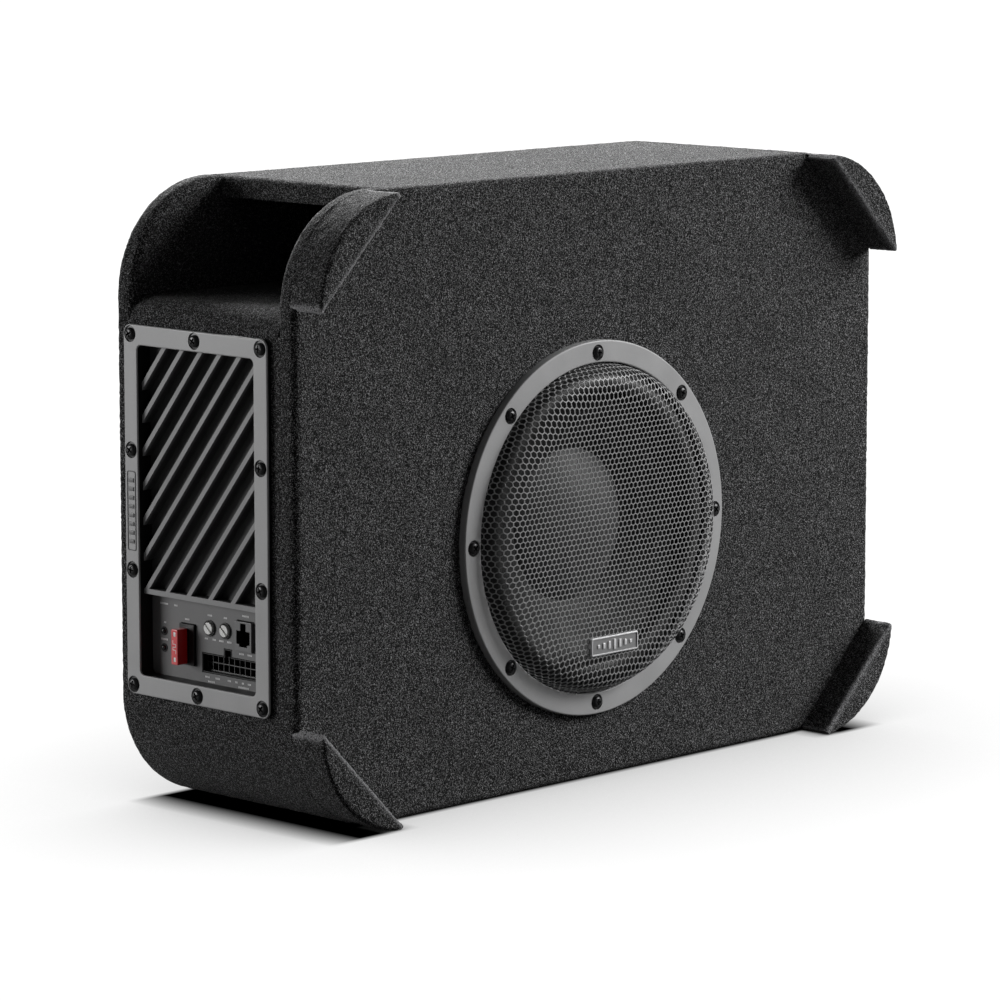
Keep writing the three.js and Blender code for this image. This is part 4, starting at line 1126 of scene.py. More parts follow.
    def rim_skins(self) -> None:
        """Skins round the rim: bottom, right end, top with its turn into the port, left end with the port's floor."""
        turns = int(round(self.corner * math.pi / 2 / self.step))
        h, w, x, r = self.height, self.half_width, self.flat_x, self.corner
        self.strip("bottom", self.line((-x, 0), (x, 0)), (0, -1))
        cos, sin = arc(-90, 0, turns + 1)
        low_right = np.stack([x + r * cos, r + r * sin], -1)
        high_right = low_right[::-1] * [1, -1] + [0, h]
        self.strip("right", np.concatenate([low_right[:-1], self.line((w, r), (w, h - r)), high_right[1:]]), None)
        roll_cos, roll_sin = arc(90, 180, 6)
        turn = np.stack([self.mouth_x + self.edge * (1 + roll_cos), h - self.edge * (1 - roll_sin)], -1)
        down = self.line((self.mouth_x, h - self.edge), (self.mouth_x, self.board_underside))
        self.strip(
            "top", np.concatenate([self.line((x, h), (self.mouth_x + self.edge, h)), turn[1:-1], down]), None,
            narrow_below=h - self.edge / 2
        )
        low_left = low_right * [-1, 1]
        face_top = self.floor_z - self.floor_round
        round_cos, round_sin = arc(180, 90, 14)
        over = np.stack([-w + self.floor_round * (1 + round_cos), face_top + self.floor_round * round_sin], -1)
        floor = self.line((-w + self.floor_round, self.floor_z), (self.lining_end, self.floor_z))
        left = np.concatenate([low_left[:-1], self.line((-w, r), (-w, face_top)), over[1:-1], floor])
        self.strip("left", left, None, narrow_above=face_top, cut_out=True)

    def line(self, start: Sequence[float], end: Sequence[float]) -> Array:
        """Evenly spaced points from start to end in X and Z, about one step apart."""
        a, b = np.array(start, float), np.array(end, float)
        count = max(int(round(np.linalg.norm(b - a) / self.step)), 1)
        return a + (b - a) * np.linspace(0, 1, count + 1)[:, None]

    def strip(
        self,
        side: str,
        path: Array,
        direction: tuple[float, float] | None,
        narrow_above: float | None = None,
        narrow_below: float | None = None,
        cut_out: bool = False,
    ) -> bpy.types.Object:
        """A rim skin: a flat section as wide as the cabinet carried along a path in X and Z.

        Args:
            side: name of the face.
            path: points along the middle of the outer surface.
            direction: outward direction, or None to take it from the path's turn.
            narrow_above: height above which the skin is only as wide as the port.
            narrow_below: height below which it is only as wide as the port.
            cut_out: whether the amplifier's opening is cut.

        Returns:
            The finished piece.
        """
        tangent = np.gradient(path, axis=0)
        tangent /= np.linalg.norm(tangent, axis=1, keepdims=True)
        normal = np.stack([tangent[:, 1], -tangent[:, 0]], -1)
        inward = np.sum(normal * (path - np.array([0, self.height / 2])), axis=1)
        if direction is None and np.median(inward) < 0:
            normal = -normal
        if direction is not None:
            normal = np.tile(np.array(direction, float), (len(path), 1))
        half = np.full(len(path), self.seam)
        if narrow_above is not None:
            half[path[:, 1] > narrow_above + 0.1] = self.board_y - 0.2
        if narrow_below is not None:
            half[path[:, 1] < narrow_below] = self.board_y - 0.2
        columns = int(round(2 * self.seam / self.step))
        t = np.linspace(-1, 1, columns + 1)
        first, last = (int(np.argmin(np.abs(t - value))) for value in self.hole_sides)
        outer = np.zeros((len(path), len(t), 3))
        outer[:, :, [0, 2]] = path[:, None]
        outer[:, :, 1] = half[:, None] * t
        behind = t[[-1, last, first, 0]]
        inner = np.zeros((len(path), 4, 3))
        inner[:, :, [0, 2]] = (path - normal * self.thick)[:, None]
        inner[:, :, 1] = half[:, None] * behind
        points = np.concatenate([outer, inner], axis=1)
        lift = np.zeros_like(points)
        lift[:, : len(t), [0, 2]] = normal[:, None]
        from_seam = (1 - np.abs(t)) * self.seam
        lift[:, : len(t)] *= np.interp(from_seam, [0.0, 3.0], [self.calm, 1.0])[None, :, None]
        surface = tube(points, lift)
        if not cut_out:
            return self.finish(f"carpet_skin_{side}", surface, f"carpet_{side}")
        low_z, high_z = self.bezel_low[2] + 6.5, self.bezel_high[2] - 6.5
        rows = np.flatnonzero((path[:, 1] > low_z) & (path[:, 1] < high_z) & (path[:, 0] < -self.half_width + 1))
        return self.finish(
            f"carpet_skin_{side}", self.opened(surface, points, rows, first, last, len(t)), f"carpet_{side}"
        )

    def opened(self, surface: Surface, points: Array, rows: Array, first: int, last: int, shown: int) -> Surface:
        """Removes a block of the strip's outer and inner quads, and joins the two borders with four flat walls."""
        width = points.shape[1]
        top, bottom = int(rows[-1]), int(rows[0])
        row, column = np.divmod(surface.quads.min(1), width)
        wraps = (surface.quads.max(1) - surface.quads.min(1)) > 2 * width - 2
        in_rows = (row >= bottom) & (row < top)
        through = (column >= first) & (column < last) | (column == shown + 1)
        kept = surface.quads[~(in_rows & through & ~wraps)]
        walls = []
        for side, back in ((first, shown + 2), (last, shown + 1)):
            at = np.arange(bottom, top)
            walls.append(
                np.stack(
                    [at * width + side, (at + 1) * width + side, (at + 1) * width + back, at * width + back],
                    -1
                )
            )
        tris = [surface.tris]
        for at in (bottom, top):
            edge = at * width + np.arange(first, last + 1)
            pivot = np.full(len(edge) - 1, at * width + shown + 2)
            tris.append(np.stack([pivot, edge[:-1], edge[1:]], -1))
            tris.append(np.array([[at * width + shown + 2, edge[-1], at * width + shown + 1]]))
        return Surface(surface.points, np.concatenate([kept, *walls]), np.concatenate(tris), surface.lift)


@dataclass
class CornerBumpers:
    """Carpeted wedge on each corner of the front: the part of the rounded corner outside a 45 degree chord."""

    corner: float = 61.0
    chord_inset: float = 61.0
    edge: float = 2.6
    skirt: float = 4.4
    calm: float = 0.25
    blunt: float = 3.2
    highlight_reach: float = 2.2
    step: float = 1.3
    pile: Pile = field(default_factory=Pile)

    def build(self) -> None:
        """Builds the four bumpers."""
        for place, side_x, side_z in (
            ("top_left", -1, 1), ("top_right", 1, 1), ("bottom_left", -1, -1), ("bottom_right", 1, -1)
        ):
            self.bumper(place, side_x, side_z)

    def bumper(self, place: str, side_x: int, side_z: int) -> bpy.types.Object:
        """One bumper: a rounded rectangle as wide as the wedge is at each station along the chord.

        With s along the chord and d out from it, the width is sqrt(R^2 - s^2) - (R - rise), and the section runs
        from the front face to the back.
        """
        node = f"bumper_{place}"
        low, high = span(node)
        rise = self.chord_inset / math.sqrt(2) - self.corner * (math.sqrt(2) - 1)
        base = self.corner - rise
        reach = math.sqrt(self.corner**2 - base**2)
        count = int(round(2 * reach / self.step))
        bow = np.sin(np.linspace(-math.pi / 2, math.pi / 2, count + 1))
        end = reach - self.blunt
        s = end * (0.45 * bow + 0.55 * np.linspace(-1, 1, count + 1))
        width = np.sqrt(self.corner**2 - s**2) - base
        section, facing = self.section(width, float(low[1]), float(high[1]))
        corner_x = high[0] if side_x > 0 else low[0]
        corner_z = high[2] if side_z > 0 else low[2]
        centre = np.array([corner_x - side_x * self.corner, corner_z - side_z * self.corner])
        out = np.array([side_x, side_z]) / math.sqrt(2)
        along = np.array([side_z, -side_x]) / math.sqrt(2) * side_x
        place_2d = centre + out * base + s[:, None, None] * along + section[:, :, :1] * out
        points = np.stack([place_2d[:, :, 0], section[:, :, 1], place_2d[:, :, 1]], -1)
        lift = np.stack([facing[:, :, 0] * out[0], facing[:, :, 1], facing[:, :, 0] * out[1]], -1)
        radial = (place_2d - centre) / self.corner
        outer = facing[:, :, 0] > 0.2
        lift[:, :, 0] = np.where(outer, radial[:, :, 0] * facing[:, :, 0], lift[:, :, 0])
        lift[:, :, 2] = np.where(outer, radial[:, :, 1] * facing[:, :, 0], lift[:, :, 2])
        thing = crisp(to_object(f"{node}_cover", self.pile.raised(tube(points, lift))), 62)
        # Marks where the carpet gets its painted edge highlight.
        self.painted_edge_highlight(thing, centre + out * base, out, along, end, float(low[1]))
        dress(thing, Finish.CARPET)
        return place_piece(thing, Body.ENCLOSURE, Slot.CARPET, node)

    def painted_edge_highlight(
        self, thing: bpy.types.Object, origin: Array, out: Array, along: Array, end: float, face_y: float
    ) -> None:
        """Marks the points near the chord's front edge and the two tips, where pale grey is mixed into the carpet as a
        painted highlight.

        The mark is e^-(distance / reach)^2 from the edge, at d = 0 and y = face, or from either end of s.
        """
        places = np.empty(len(thing.data.vertices) * 3)
        thing.data.vertices.foreach_get("co", places)
        places = places.reshape(-1, 3) / MM
        flat = places[:, [0, 2]] - origin
        d, s = flat @ out, flat @ along
        chord = np.exp(-(d**2 + (places[:, 1] - face_y) ** 2) / self.highlight_reach**2)
        tips = np.exp(-((end - np.abs(s)) ** 2) / (0.6 * self.highlight_reach) ** 2)
        mark = thing.data.attributes.new("painted_edge_highlight", "FLOAT", "POINT")
        mark.data.foreach_set("value", np.maximum(chord, tips).astype(np.float32))

    def section(self, width: Array, low_y: float, high_y: float) -> tuple[Array, Array]:
        """Rounded rectangles of the given widths in (d, y), and their outward directions."""
        depth = high_y - low_y
        side = int(round((depth + self.skirt) / self.step))
        face = int(round(14 / self.step))
        radius = np.minimum(self.edge, 0.46 * width)[:, None]
        w = width[:, None]
        cos, sin = arc(0, 90, 6)
        straight = np.linspace(0, 1, side + 1)[None, 1:-1]
        across = np.linspace(0, 1, face + 1)[None, 1:-1]
        ones = np.ones_like(w)
        pieces = [
            (w - radius + radius * sin, low_y + radius - radius * cos, ones * sin, ones * -cos),
            (
                w + 0 * straight, low_y + radius + (depth + self.skirt - radius) * straight,
                ones + 0 * straight, 0 * ones * straight
            ),
            (w, (high_y + self.skirt) * ones, self.calm * ones, 0 * ones),
            (np.maximum(w - self.skirt, 0.5 * w), high_y * ones, 0 * ones, 0 * ones),
            (0 * w, high_y * ones, 0 * ones, 0 * ones),
            (0 * w * straight, high_y - (depth - radius) * straight, -ones + 0 * straight, 0 * ones * straight),
            (radius * (1 - cos), low_y + radius * (1 - sin), -ones * cos, -ones * sin),
            (radius + (w - 2 * radius) * across, low_y + 0 * w * across, 0 * ones * across, -ones + 0 * across),
        ]
        d, y, out, front = (np.concatenate([piece[k] for piece in pieces], axis=1) for k in range(4))
        return np.stack([d, y], -1), np.stack([out, front], -1)


# ---------------------------------------------------------------- woofer and grille


@dataclass
class Woofer:
    """The moving cone, its dome, the roll round it and the spider behind it."""

    segments: int = 160
    cone_thick: float = 1.2
    roll_radius: float = 6.0
    roll_centre: float = 80.0

    def __post_init__(self) -> None:
        """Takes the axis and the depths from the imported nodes."""
        low, high = span("grille_ring")
        self.axis = ((low + high) / 2)[[0, 2]]
        self.cone_low, self.cone_high = span("cone")
        self.cap_low, self.cap_high = span("dust_cap")
        self.surround_low, self.surround_high = span("surround")
        self.spider_low, self.spider_high = span("spider")

    def build(self) -> None:
        """Builds the cone, the dome, the surround and the spider."""
        self.cone()
        self.dust_cap()
        self.surround()
        self.spider()

    def make(self, name: str, profile: Array, finish: Finish) -> bpy.types.Object:
        """Turns a closed profile and dresses it."""
        return dress(to_object(name, turned(profile, self.axis, self.segments, closed=True)), finish)

    def cone(self) -> None:
        """Paper cone: flared from the neck to the rim by a power of the radius, with two faint ribs."""
        rim_y, neck_y = float(self.cone_low[1]), float(self.cone_high[1]) - 1.5 * self.cone_thick
        r = np.linspace(20.8, 71.0, 60)
        t = (r - r[0]) / (r[-1] - r[0])
        y = neck_y + (rim_y - neck_y) * t**1.06
        y = y - 0.35 * np.exp(-(((r - 52) / 1.1) ** 2)) - 0.35 * np.exp(-(((r - 61) / 1.1) ** 2))
        front = np.concatenate([np.stack([r, y], -1), [[73.6, rim_y]]])
        back = front[::-1] + np.array([0.0, self.cone_thick])
        piece = self.make("cone_paper", np.concatenate([front, back]), Finish.PAPER)
        place_piece(piece, Body.CONE, Slot.PAPER, "cone")

    def dust_cap(self) -> None:
        """Dome over the coil: depth falls with the square of the radius, with a glued rim that curls under."""
        apex, seat = float(self.cap_low[1]), float(self.cap_high[1]) - 1.1
        reach = float(self.cap_high[0] - self.cap_low[0]) / 2
        t = np.linspace(0, 1, 40)
        front = np.stack([reach * t, apex + (seat - apex) * t**2.1], -1)
        curl = np.array([[reach + 0.5, seat + 0.4], [reach + 0.3, seat + 1.0]])
        back = np.stack([(reach - 1) * t[::-1], apex + 1.0 + (seat - apex) * t[::-1] ** 2.1], -1)
        thing = to_object("dust_cap_dome", turned(np.concatenate([front, curl, back]), self.axis, self.segments))
        dress(thing, Finish.CAP)
        place_piece(thing, Body.CONE, Slot.PAPER, "dust_cap")

    def surround(self) -> None:
        """Half-roll of rubber between two flat lips: r = centre - R cos t, y = seat - R sin t, one thickness deep."""
        seat = float(self.surround_high[1])
        thick = 1.0
        cos, sin = arc(0, 180, 25)
        roll = np.stack(
            [self.roll_centre - self.roll_radius * cos, seat - thick - (self.roll_radius - thick) * sin], -1
        )
        front = np.concatenate([[[71.2, seat - thick]], roll, [[89.4, seat - thick]]])
        back = front[::-1] + np.array([0.0, thick - 0.05])
        piece = self.make("surround_roll", np.concatenate([front, back]), Finish.RUBBER)
        self.stretch(piece)
        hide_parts("surround")
        log.info("surround_roll bends between the frame and the cone")

    def spider(self) -> None:
        """Corrugated cloth disc: a flat ring with waves y = depth cos(2 pi r / pitch)."""
        low, high = float(self.spider_low[1]), float(self.spider_high[1])
        r = np.linspace(21.2, 54.4, 90)
        wave = (high - low - 1.0) / 2
        y = (low + high - 1.0) / 2 + wave * np.cos(2 * np.pi * (r - r[0]) / 6.6)
        front = np.stack([r, y], -1)
        back = front[::-1] + np.array([0.0, 0.8])
        piece = self.make("spider_cloth", np.concatenate([front, back]), Finish.CLOTH)
        self.stretch(piece)
        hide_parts("spider")
        log.info("spider_cloth bends between the frame and the cone")

    def stretch(self, piece: bpy.types.Object) -> None:
        """Bakes a ring's transform into its mesh and reads its points in millimetres, which nothing uses further.
        """
        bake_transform(piece)
        count = len(piece.data.vertices)
        places = np.empty(count * 3)
        piece.data.vertices.foreach_get("co", places)
        places = places.reshape(-1, 3) / MM


@dataclass
class Grille:
    """Pressed grille: a sheet with hexagonal holes, the trim ring that clamps it, and the badge."""

    pitch: float = 3.4
    strand: float = 0.62
    sheet: float = 0.7
    segments: int = 192
    flat_radius: float = 72.0

    def __post_init__(self) -> None:
        """Takes the ring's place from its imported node."""
        self.low, self.high = span("grille_ring")
        self.axis = ((self.low + self.high) / 2)[[0, 2]]
        self.face = float(self.low[1])
        self.outer = float(self.high[0] - self.low[0]) / 2

    def build(self) -> None:
        """Builds the perforated sheet, the ring and the badge."""
        self.perforated()
        self.ring()
        self.badge()

    def pressed(self, flat: Array, sunk: Array) -> Array:
        """Presses a flat sheet into the dome.

        A point at flat radius p keeps its bearing. Its place along the dome's section is p on the crown, and past
        the crown it advances by 25.05 / 18.9 for each unit of p, so the holes stretch evenly down the rim.

        Args:
            flat: points in the sheet's plane.
            sunk: how far each point lies behind the sheet's front.

        Returns:
            The places in X, Y and Z.
        """
        f = self.face
        section = np.array(
            [
                [0, f - 12.8], [40, f - 12.6], [72, f - 12], [78, f - 11.6], [82.5, f - 10.9], [85, f - 9.8],
                [87.2, f - 7.9], [89, f - 5], [90.2, f - 1.8], [90.8, f + 1.5], [91.0, f + 3.4],
                [95.6, f + 3.4]
            ]
        )
        steps = np.hypot(*np.diff(section, axis=0).T)
        along = np.concatenate([[0], np.cumsum(steps)])
        p = np.hypot(flat[:, 0], flat[:, 1])
        crown = along[2]
        s = np.where(p < self.flat_radius, p * crown / self.flat_radius, crown + (p - self.flat_radius) * 25.05 / 18.9)
        r, y = np.interp(s, along, section[:, 0]), np.interp(s, along, section[:, 1])
        ahead_r = np.interp(s + 0.4, along, section[:, 0]) - np.interp(s - 0.4, along, section[:, 0])
        ahead_y = np.interp(s + 0.4, along, section[:, 1]) - np.interp(s - 0.4, along, section[:, 1])
        size = np.hypot(ahead_r, ahead_y) + 1e-9
        r = r - sunk * ahead_y / size
        y = y + sunk * ahead_r / size
        scale = r / np.maximum(p, 1e-6)
        return np.stack([self.axis[0] + flat[:, 0] * scale, y, self.axis[1] + flat[:, 1] * scale], -1)

    def perforated(self) -> None:
        """The sheet: rings of six quads round each hole of a hexagonal lattice, pressed to shape and thickened.

        Hole centres are rows half a pitch out of step, pitch sqrt(3) / 2 apart. Each cell has its shared outer
        hexagon, the hole's front edge, and the same edge a little behind it as a broken corner.
        """
        reach = 93.0
        rows = int(reach / (self.pitch * math.sqrt(3) / 2)) + 1
        columns = int(reach / self.pitch) + 1
        j, i = np.meshgrid(np.arange(-rows, rows + 1), np.arange(-columns, columns + 1), indexing="ij")
        centre = np.stack([self.pitch * (i + 0.5 * (j % 2)), self.pitch * math.sqrt(3) / 2 * j], -1).reshape(-1, 2)
        centre = centre[np.hypot(centre[:, 0], centre[:, 1]) < reach]
        cos, sin = arc(30, 330, 6)
        corner = np.stack([cos, sin], -1)
        outer = self.pitch / math.sqrt(3)
        hole = (self.pitch - self.strand) / math.sqrt(3)
        sizes = [outer, hole + 0.13, hole]
        depths = [0.0, 0.0, 0.16]
        points = np.stack([centre[:, None] + size * corner for size in sizes], 1)
        sunk = np.broadcast_to(np.array(depths)[None, :, None], points.shape[:3])
        places = self.pressed(points.reshape(-1, 2), sunk.reshape(-1))
        base = np.arange(len(centre))[:, None, None] * 18
        level = np.array([0, 6])[None, :, None]
        k = np.arange(6)[None, None, :]
        step = (k + 1) % 6
        quads = np.stack([base + level + k, base + level + step, base + level + 6 + step, base + level + 6 + k], -1)
        thing = to_object("grille_sheet", Surface(places, quads.reshape(-1, 4)), weld=0.01)
        if thing.data.polygons[0].normal.y > 0:
            thing.data.flip_normals()
        wall = thing.modifiers.new("sheet", "SOLIDIFY")
        wall.thickness = self.sheet * MM
        wall.offset = -1.0
        settle(thing, 28)
        dress(thing, Finish.MESH)
        place_piece(thing, Body.ENCLOSURE, Slot.MESH, "grille_mesh")

    def ring(self) -> None:
        """The trim ring: a broad flat face with eased edges and a skirt, with a counterbore at each screw."""
        back = self.face + 2.8
        foot = float(self.high[1])
        section = [
            (91.5, back), (91.5, self.face), (self.outer, self.face), (self.outer, foot),
            (self.outer - 2, foot), (self.outer - 2, back)
        ]
        thing = to_object("grille_trim_ring", turned(eased(section, 1.0), self.axis, self.segments, closed=True))
        cutters = []
        for index in range(8):
            low, high = span(f"ring_screw_{index + 1}")
            centre = (low + high) / 2
            cutters.append(rod(centre, 4.5, self.face - 3, self.face + 1.3, axis=1, segments=40))
        carved(thing, cutters)
        bevelled(thing, 0.22)
        dress(thing, Finish.TRIM)
        place_piece(thing, Body.ENCLOSURE, Slot.TRIM, "grille_ring")

    def badge(self) -> None:
        """Badge: a plate with a raised rim, and seven bars as a plain mark."""
        low, high = span("badge")
        middle = (low + high) / 2
        half = (high - low) / 2
        y_front, y_back = float(low[1]), float(high[1])
        rows = []
        for trim, y, radius in (
            (0.25, y_back, 0.8), (0, y_back - 0.25, 1), (0, y_front + 0.3, 1), (0.3, y_front, 0.8),
            (0.75, y_front, 0.6), (0.9, y_front + 0.15, 0.5), (0.95, y_front + 0.55, 0.5)
        ):
            loop = rounded_loop(half[0] - trim, half[2] - trim, radius, 5)
            rows.append(np.stack([middle[0] + loop[:, 0], np.full(len(loop), y), middle[2] + loop[:, 1]], -1))
        plate = to_object("badge_plate", tube(np.array(rows)))
        plate.data.set_sharp_from_angle(angle=math.radians(40))
        form = plate.data
        middle_y = np.array([face.center.y / MM for face in form.polygons])
        form.materials.clear()
        for finish in (Finish.BADGE, Finish.BADGE_FIELD):
            form.materials.append(finish.material())
        form.polygons.foreach_set(
            "material_index", ((middle_y > y_front + 0.3) & (middle_y < y_front + 0.7)).astype(np.int32)
        )
        place_piece(plate, Body.ENCLOSURE, Slot.BADGE, "badge")
        bars = []
        for index in range(7):
            x = middle[0] + (index - 3) * 4.3
            tall = (2.0, 3.2, 4.4, 5.6, 4.4, 3.2, 2.0)[index] / 2
            bars.append(
                soft_block(
                    (x - 0.9, y_front + 0.05, middle[2] - tall), (x + 0.9, y_front + 0.7, middle[2] + tall),
                    0.15, axis=1, corner=0.3
                )
            )
        show_parts("badge_bars", bars, Finish.BADGE, Body.ENCLOSURE, Slot.BADGE, sharp=40)


# ---------------------------------------------------------------- amplifier


@dataclass
class Amplifier:
    """The amplifier's bezel, its heatsink, and what is set in the control plate."""

    corner: float = 5.0
    open_y: float = 45.0
    open_z: float = 88.6
    open_corner: float = 3.0
    sleeve: float = 1.4
    plate_depth: float = 9.5
    fuse_body: float = 7.2
    fuse_window: float = 6.8
    fuse_blade: float = 4.9
    lamp_dome: float = 1.3
    rim_inner: float = 3.5
    rim_outer: float = 4.4
    contact_pitch: float = 1.2
    header_z: float = 84.15
    header_pitch: float = 4.14
    header_columns: int = 10
    tick: float = 0.5
    tick_gap: float = 0.4
    tick_height: float = 1.0

    def __post_init__(self) -> None:
        """Takes the bezel's and the plate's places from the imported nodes."""
        self.low, self.high = span("amp_bezel")
        self.middle = (self.low + self.high) / 2
        self.half = (self.high - self.low) / 2
        self.face = float(self.low[0])
        self.plate = self.face + self.plate_depth

    def build(self) -> None:
        """Builds everything on the amplifier."""
        self.bezel()
        self.plaque()
        self.heatsink()
        self.fuse_and_holder()
        self.lamps()
        self.trimmers()
        self.jack()
        self.header()
        self.labels()

    def bezel(self) -> None:
        """Frame: rounded rectangles carried through one section, from its rim over the face and down the sleeve."""
        back = self.face + 2.7
        foot = self.plate - 0.3
        y, z = float(self.half[1]), float(self.half[2])
        rows = [
            (y, z, self.corner, back),
            (y, z, self.corner, self.face + 0.9),
            (y - 0.15, z - 0.15, self.corner - 0.1, self.face + 0.4),
            (y - 0.45, z - 0.45, self.corner - 0.4, self.face + 0.1),
            (y - 0.9, z - 0.9, self.corner - 0.8, self.face),
            (self.open_y + 0.8, self.open_z + 0.8, self.open_corner + 0.7, self.face),
            (self.open_y + 0.35, self.open_z + 0.35, self.open_corner + 0.3, self.face + 0.1),
            (self.open_y + 0.08, self.open_z + 0.08, self.open_corner, self.face + 0.4),
            (self.open_y, self.open_z, self.open_corner, self.face + 0.9),
            (self.open_y, self.open_z, self.open_corner, foot),
            (self.open_y + self.sleeve, self.open_z + self.sleeve, self.open_corner + 1, foot),
            (self.open_y + self.sleeve, self.open_z + self.sleeve, self.open_corner + 1, back),
        ]
        rings = []
        for half_y, half_z, radius, x in rows:
            loop = rounded_loop(half_y, half_z, radius, 8)
            rings.append(
                np.stack(
                    [np.full(len(loop), x), self.middle[1] + loop[:, 0], self.middle[2] + loop[:, 1]], -1
                )
            )
        thing = to_object("amp_bezel_frame", Surface.grid(np.array(rings), wrap_rows=True, wrap_columns=True))
        cutters = []
        for index in range(10):
            low, high = span(f"bezel_screw_{index + 1}")
            cutters.append(rod((low + high) / 2, 4.5, self.face - 3, self.face + 1.3, axis=0, segments=40))
        carved(thing, cutters)
        bevelled(thing, 0.2)
        # Painted shade: faces more than 1 mm behind the face, the sleeve and the back, take black moulding for the
        # shade inside the opening.
        self.dark_where(thing, Finish.TRIM, Finish.BLACK, lambda at, facing: at[:, 0] > self.face + 1.0)
        place_piece(thing, Body.ENCLOSURE, Slot.TRIM, "amp_bezel")

    def dark_where(
        self, thing: bpy.types.Object, first: Finish, second: Finish, test: Callable[[Array, Array], Array]
    ) -> None:
        """Dresses a piece in one finish, and the faces that pass a test of middle and direction in another."""
        dress(thing, first, second)
        count = len(thing.data.polygons)
        at, facing = np.empty(count * 3), np.empty(count * 3)
        thing.data.polygons.foreach_get("center", at)
        thing.data.polygons.foreach_get("normal", facing)
        picked = test(at.reshape(-1, 3) / MM, facing.reshape(-1, 3))
        thing.data.polygons.foreach_set("material_index", picked.astype(np.int32))

    def plaque(self) -> None:
        """Raised outline with plain bars on the bezel's rear column, in place of a name."""
        y, z = self.middle[1] + 50.2, self.middle[2] - 0.5
        rows = []
        for trim, rise in ((0.0, 0.05), (0.0, 0.3), (0.15, 0.45), (0.45, 0.45), (0.6, 0.3), (0.6, 0.05)):
            loop = rounded_loop(3.4 - trim, 21.5 - trim, 1.2 - trim / 2, 6)
            rows.append(np.stack([np.full(len(loop), self.face + 0.1 - rise), y + loop[:, 0], z + loop[:, 1]], -1))
        parts = [Surface.grid(np.array(rows), wrap_rows=True, wrap_columns=True)]
        for index in range(8):
            bar_z = z + (index - 3.5) * 4.7
            parts.append(
                soft_block(
                    (self.face - 0.4, y - 1.9, bar_z - 1.1), (self.face + 0.1, y + 1.9, bar_z + 1.1), 0.12,
                    axis=0, corner=0.3
                )
            )
        show_parts("amp_plaque", parts, Finish.GREY, Body.ENCLOSURE, Slot.TRIM, sharp=40)

    def heatsink(self) -> None:
        """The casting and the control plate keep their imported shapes, with their edges broken."""
        for node, name in (("heatsink", "heatsink_fins"), ("control_plate", "control_panel")):
            thing = bevelled(copied(node, name), 0.3)
            dress(thing, Finish.HEATSINK)
            place_piece(thing, Body.ENCLOSURE, Slot.HEATSINK, node)

    def fuse_and_holder(self) -> None:
        """The holder's block with its well, and the blade fuse with its windows, marks and blades."""
        holder = bevelled(copied("fuse_holder", "fuse_socket"), 0.3)
        dress(holder, Finish.BLACK)
        place_piece(holder, Body.ENCLOSURE, Slot.BLACK, "fuse_holder")
        low, high = span("fuse")
        body_end = float(low[0]) + self.fuse_body
        y, z = (low[1] + high[1]) / 2, (low[2] + high[2]) / 2
        x = float(low[0])
        body = to_object(
            "fuse_body",
            soft_block((x, low[1], low[2]), (body_end, high[1], high[2]), 0.5, axis=0, corner=0.6)
        )
        wells = [
            soft_block((x - 1, y - 1.0, at - 1.2), (x + 0.9, y + 1.0, at + 1.2), 0.1, axis=0, corner=0.3)
            for at in (z - self.fuse_window, z + self.fuse_window)
        ]
        carved(body, wells)
        bevelled(body, 0.12)
        # Painted highlight: the fuse's front face takes the lighter red.
        self.dark_where(body, Finish.RED, Finish.RED_HIGHLIGHT, lambda at, facing: at[:, 0] < x + 0.35)
        place_piece(body, Body.FUSE, Slot.RED, "fuse")
        self.fuse_details(x, y, z, body_end, float(high[0]))

    def fuse_details(self, x: float, y: float, z: float, body_end: float, tip: float) -> None:
        """Bright window caps, a zig-zag link on the face, the stem and the two blades."""
        windows = [
            soft_block((x + 0.2, y - 0.95, at - 1.15), (x + 0.85, y + 0.95, at + 1.15), 0.1, axis=0, corner=0.3)
            for at in (z - self.fuse_window, z + self.fuse_window)
        ]
        show_parts("fuse_test_points", windows, Finish.WHITE, Body.FUSE, Slot.WHITE)
        turns = np.array(
            [(-1.1, -3.4), (-1.1, -1.6), (1.1, -1.6), (1.1, 0), (-1.1, 0), (-1.1, 1.6), (1.1, 1.6), (1.1, 3.4)]
        )
        strokes = []
        for (y0, z0), (y1, z1) in zip(turns[:-1], turns[1:]):
            low_y, high_y = min(y0, y1) - 0.18, max(y0, y1) + 0.18
            low_z, high_z = min(z0, z1) - 0.18, max(z0, z1) + 0.18
            low, high = (x - 0.04, y + low_y, z + low_z), (x + 0.2, y + high_y, z + high_z)
            strokes.append(soft_block(low, high, 0.03, axis=0, corner=0.05))
        show_parts("fuse_link_mark", strokes, Finish.WHITE, Body.FUSE, Slot.WHITE)
        stem = soft_block((body_end - 0.3, y - 1.5, z - 7.5), (body_end + 2.6, y + 1.5, z + 7.5), 0.3, axis=0)
        collar = dress(to_object("fuse_stem", stem), Finish.RED)
        place_piece(collar, Body.FUSE, Slot.RED)
        blades = [
            soft_block((body_end + 2.2, y - 0.4, at - 2.6), (tip, y + 0.4, at + 2.6), 0.15, axis=0)
            for at in (z - self.fuse_blade, z + self.fuse_blade)
        ]
        show_parts("fuse_blades", blades, Finish.GOLD, Body.FUSE, Slot.STEEL)

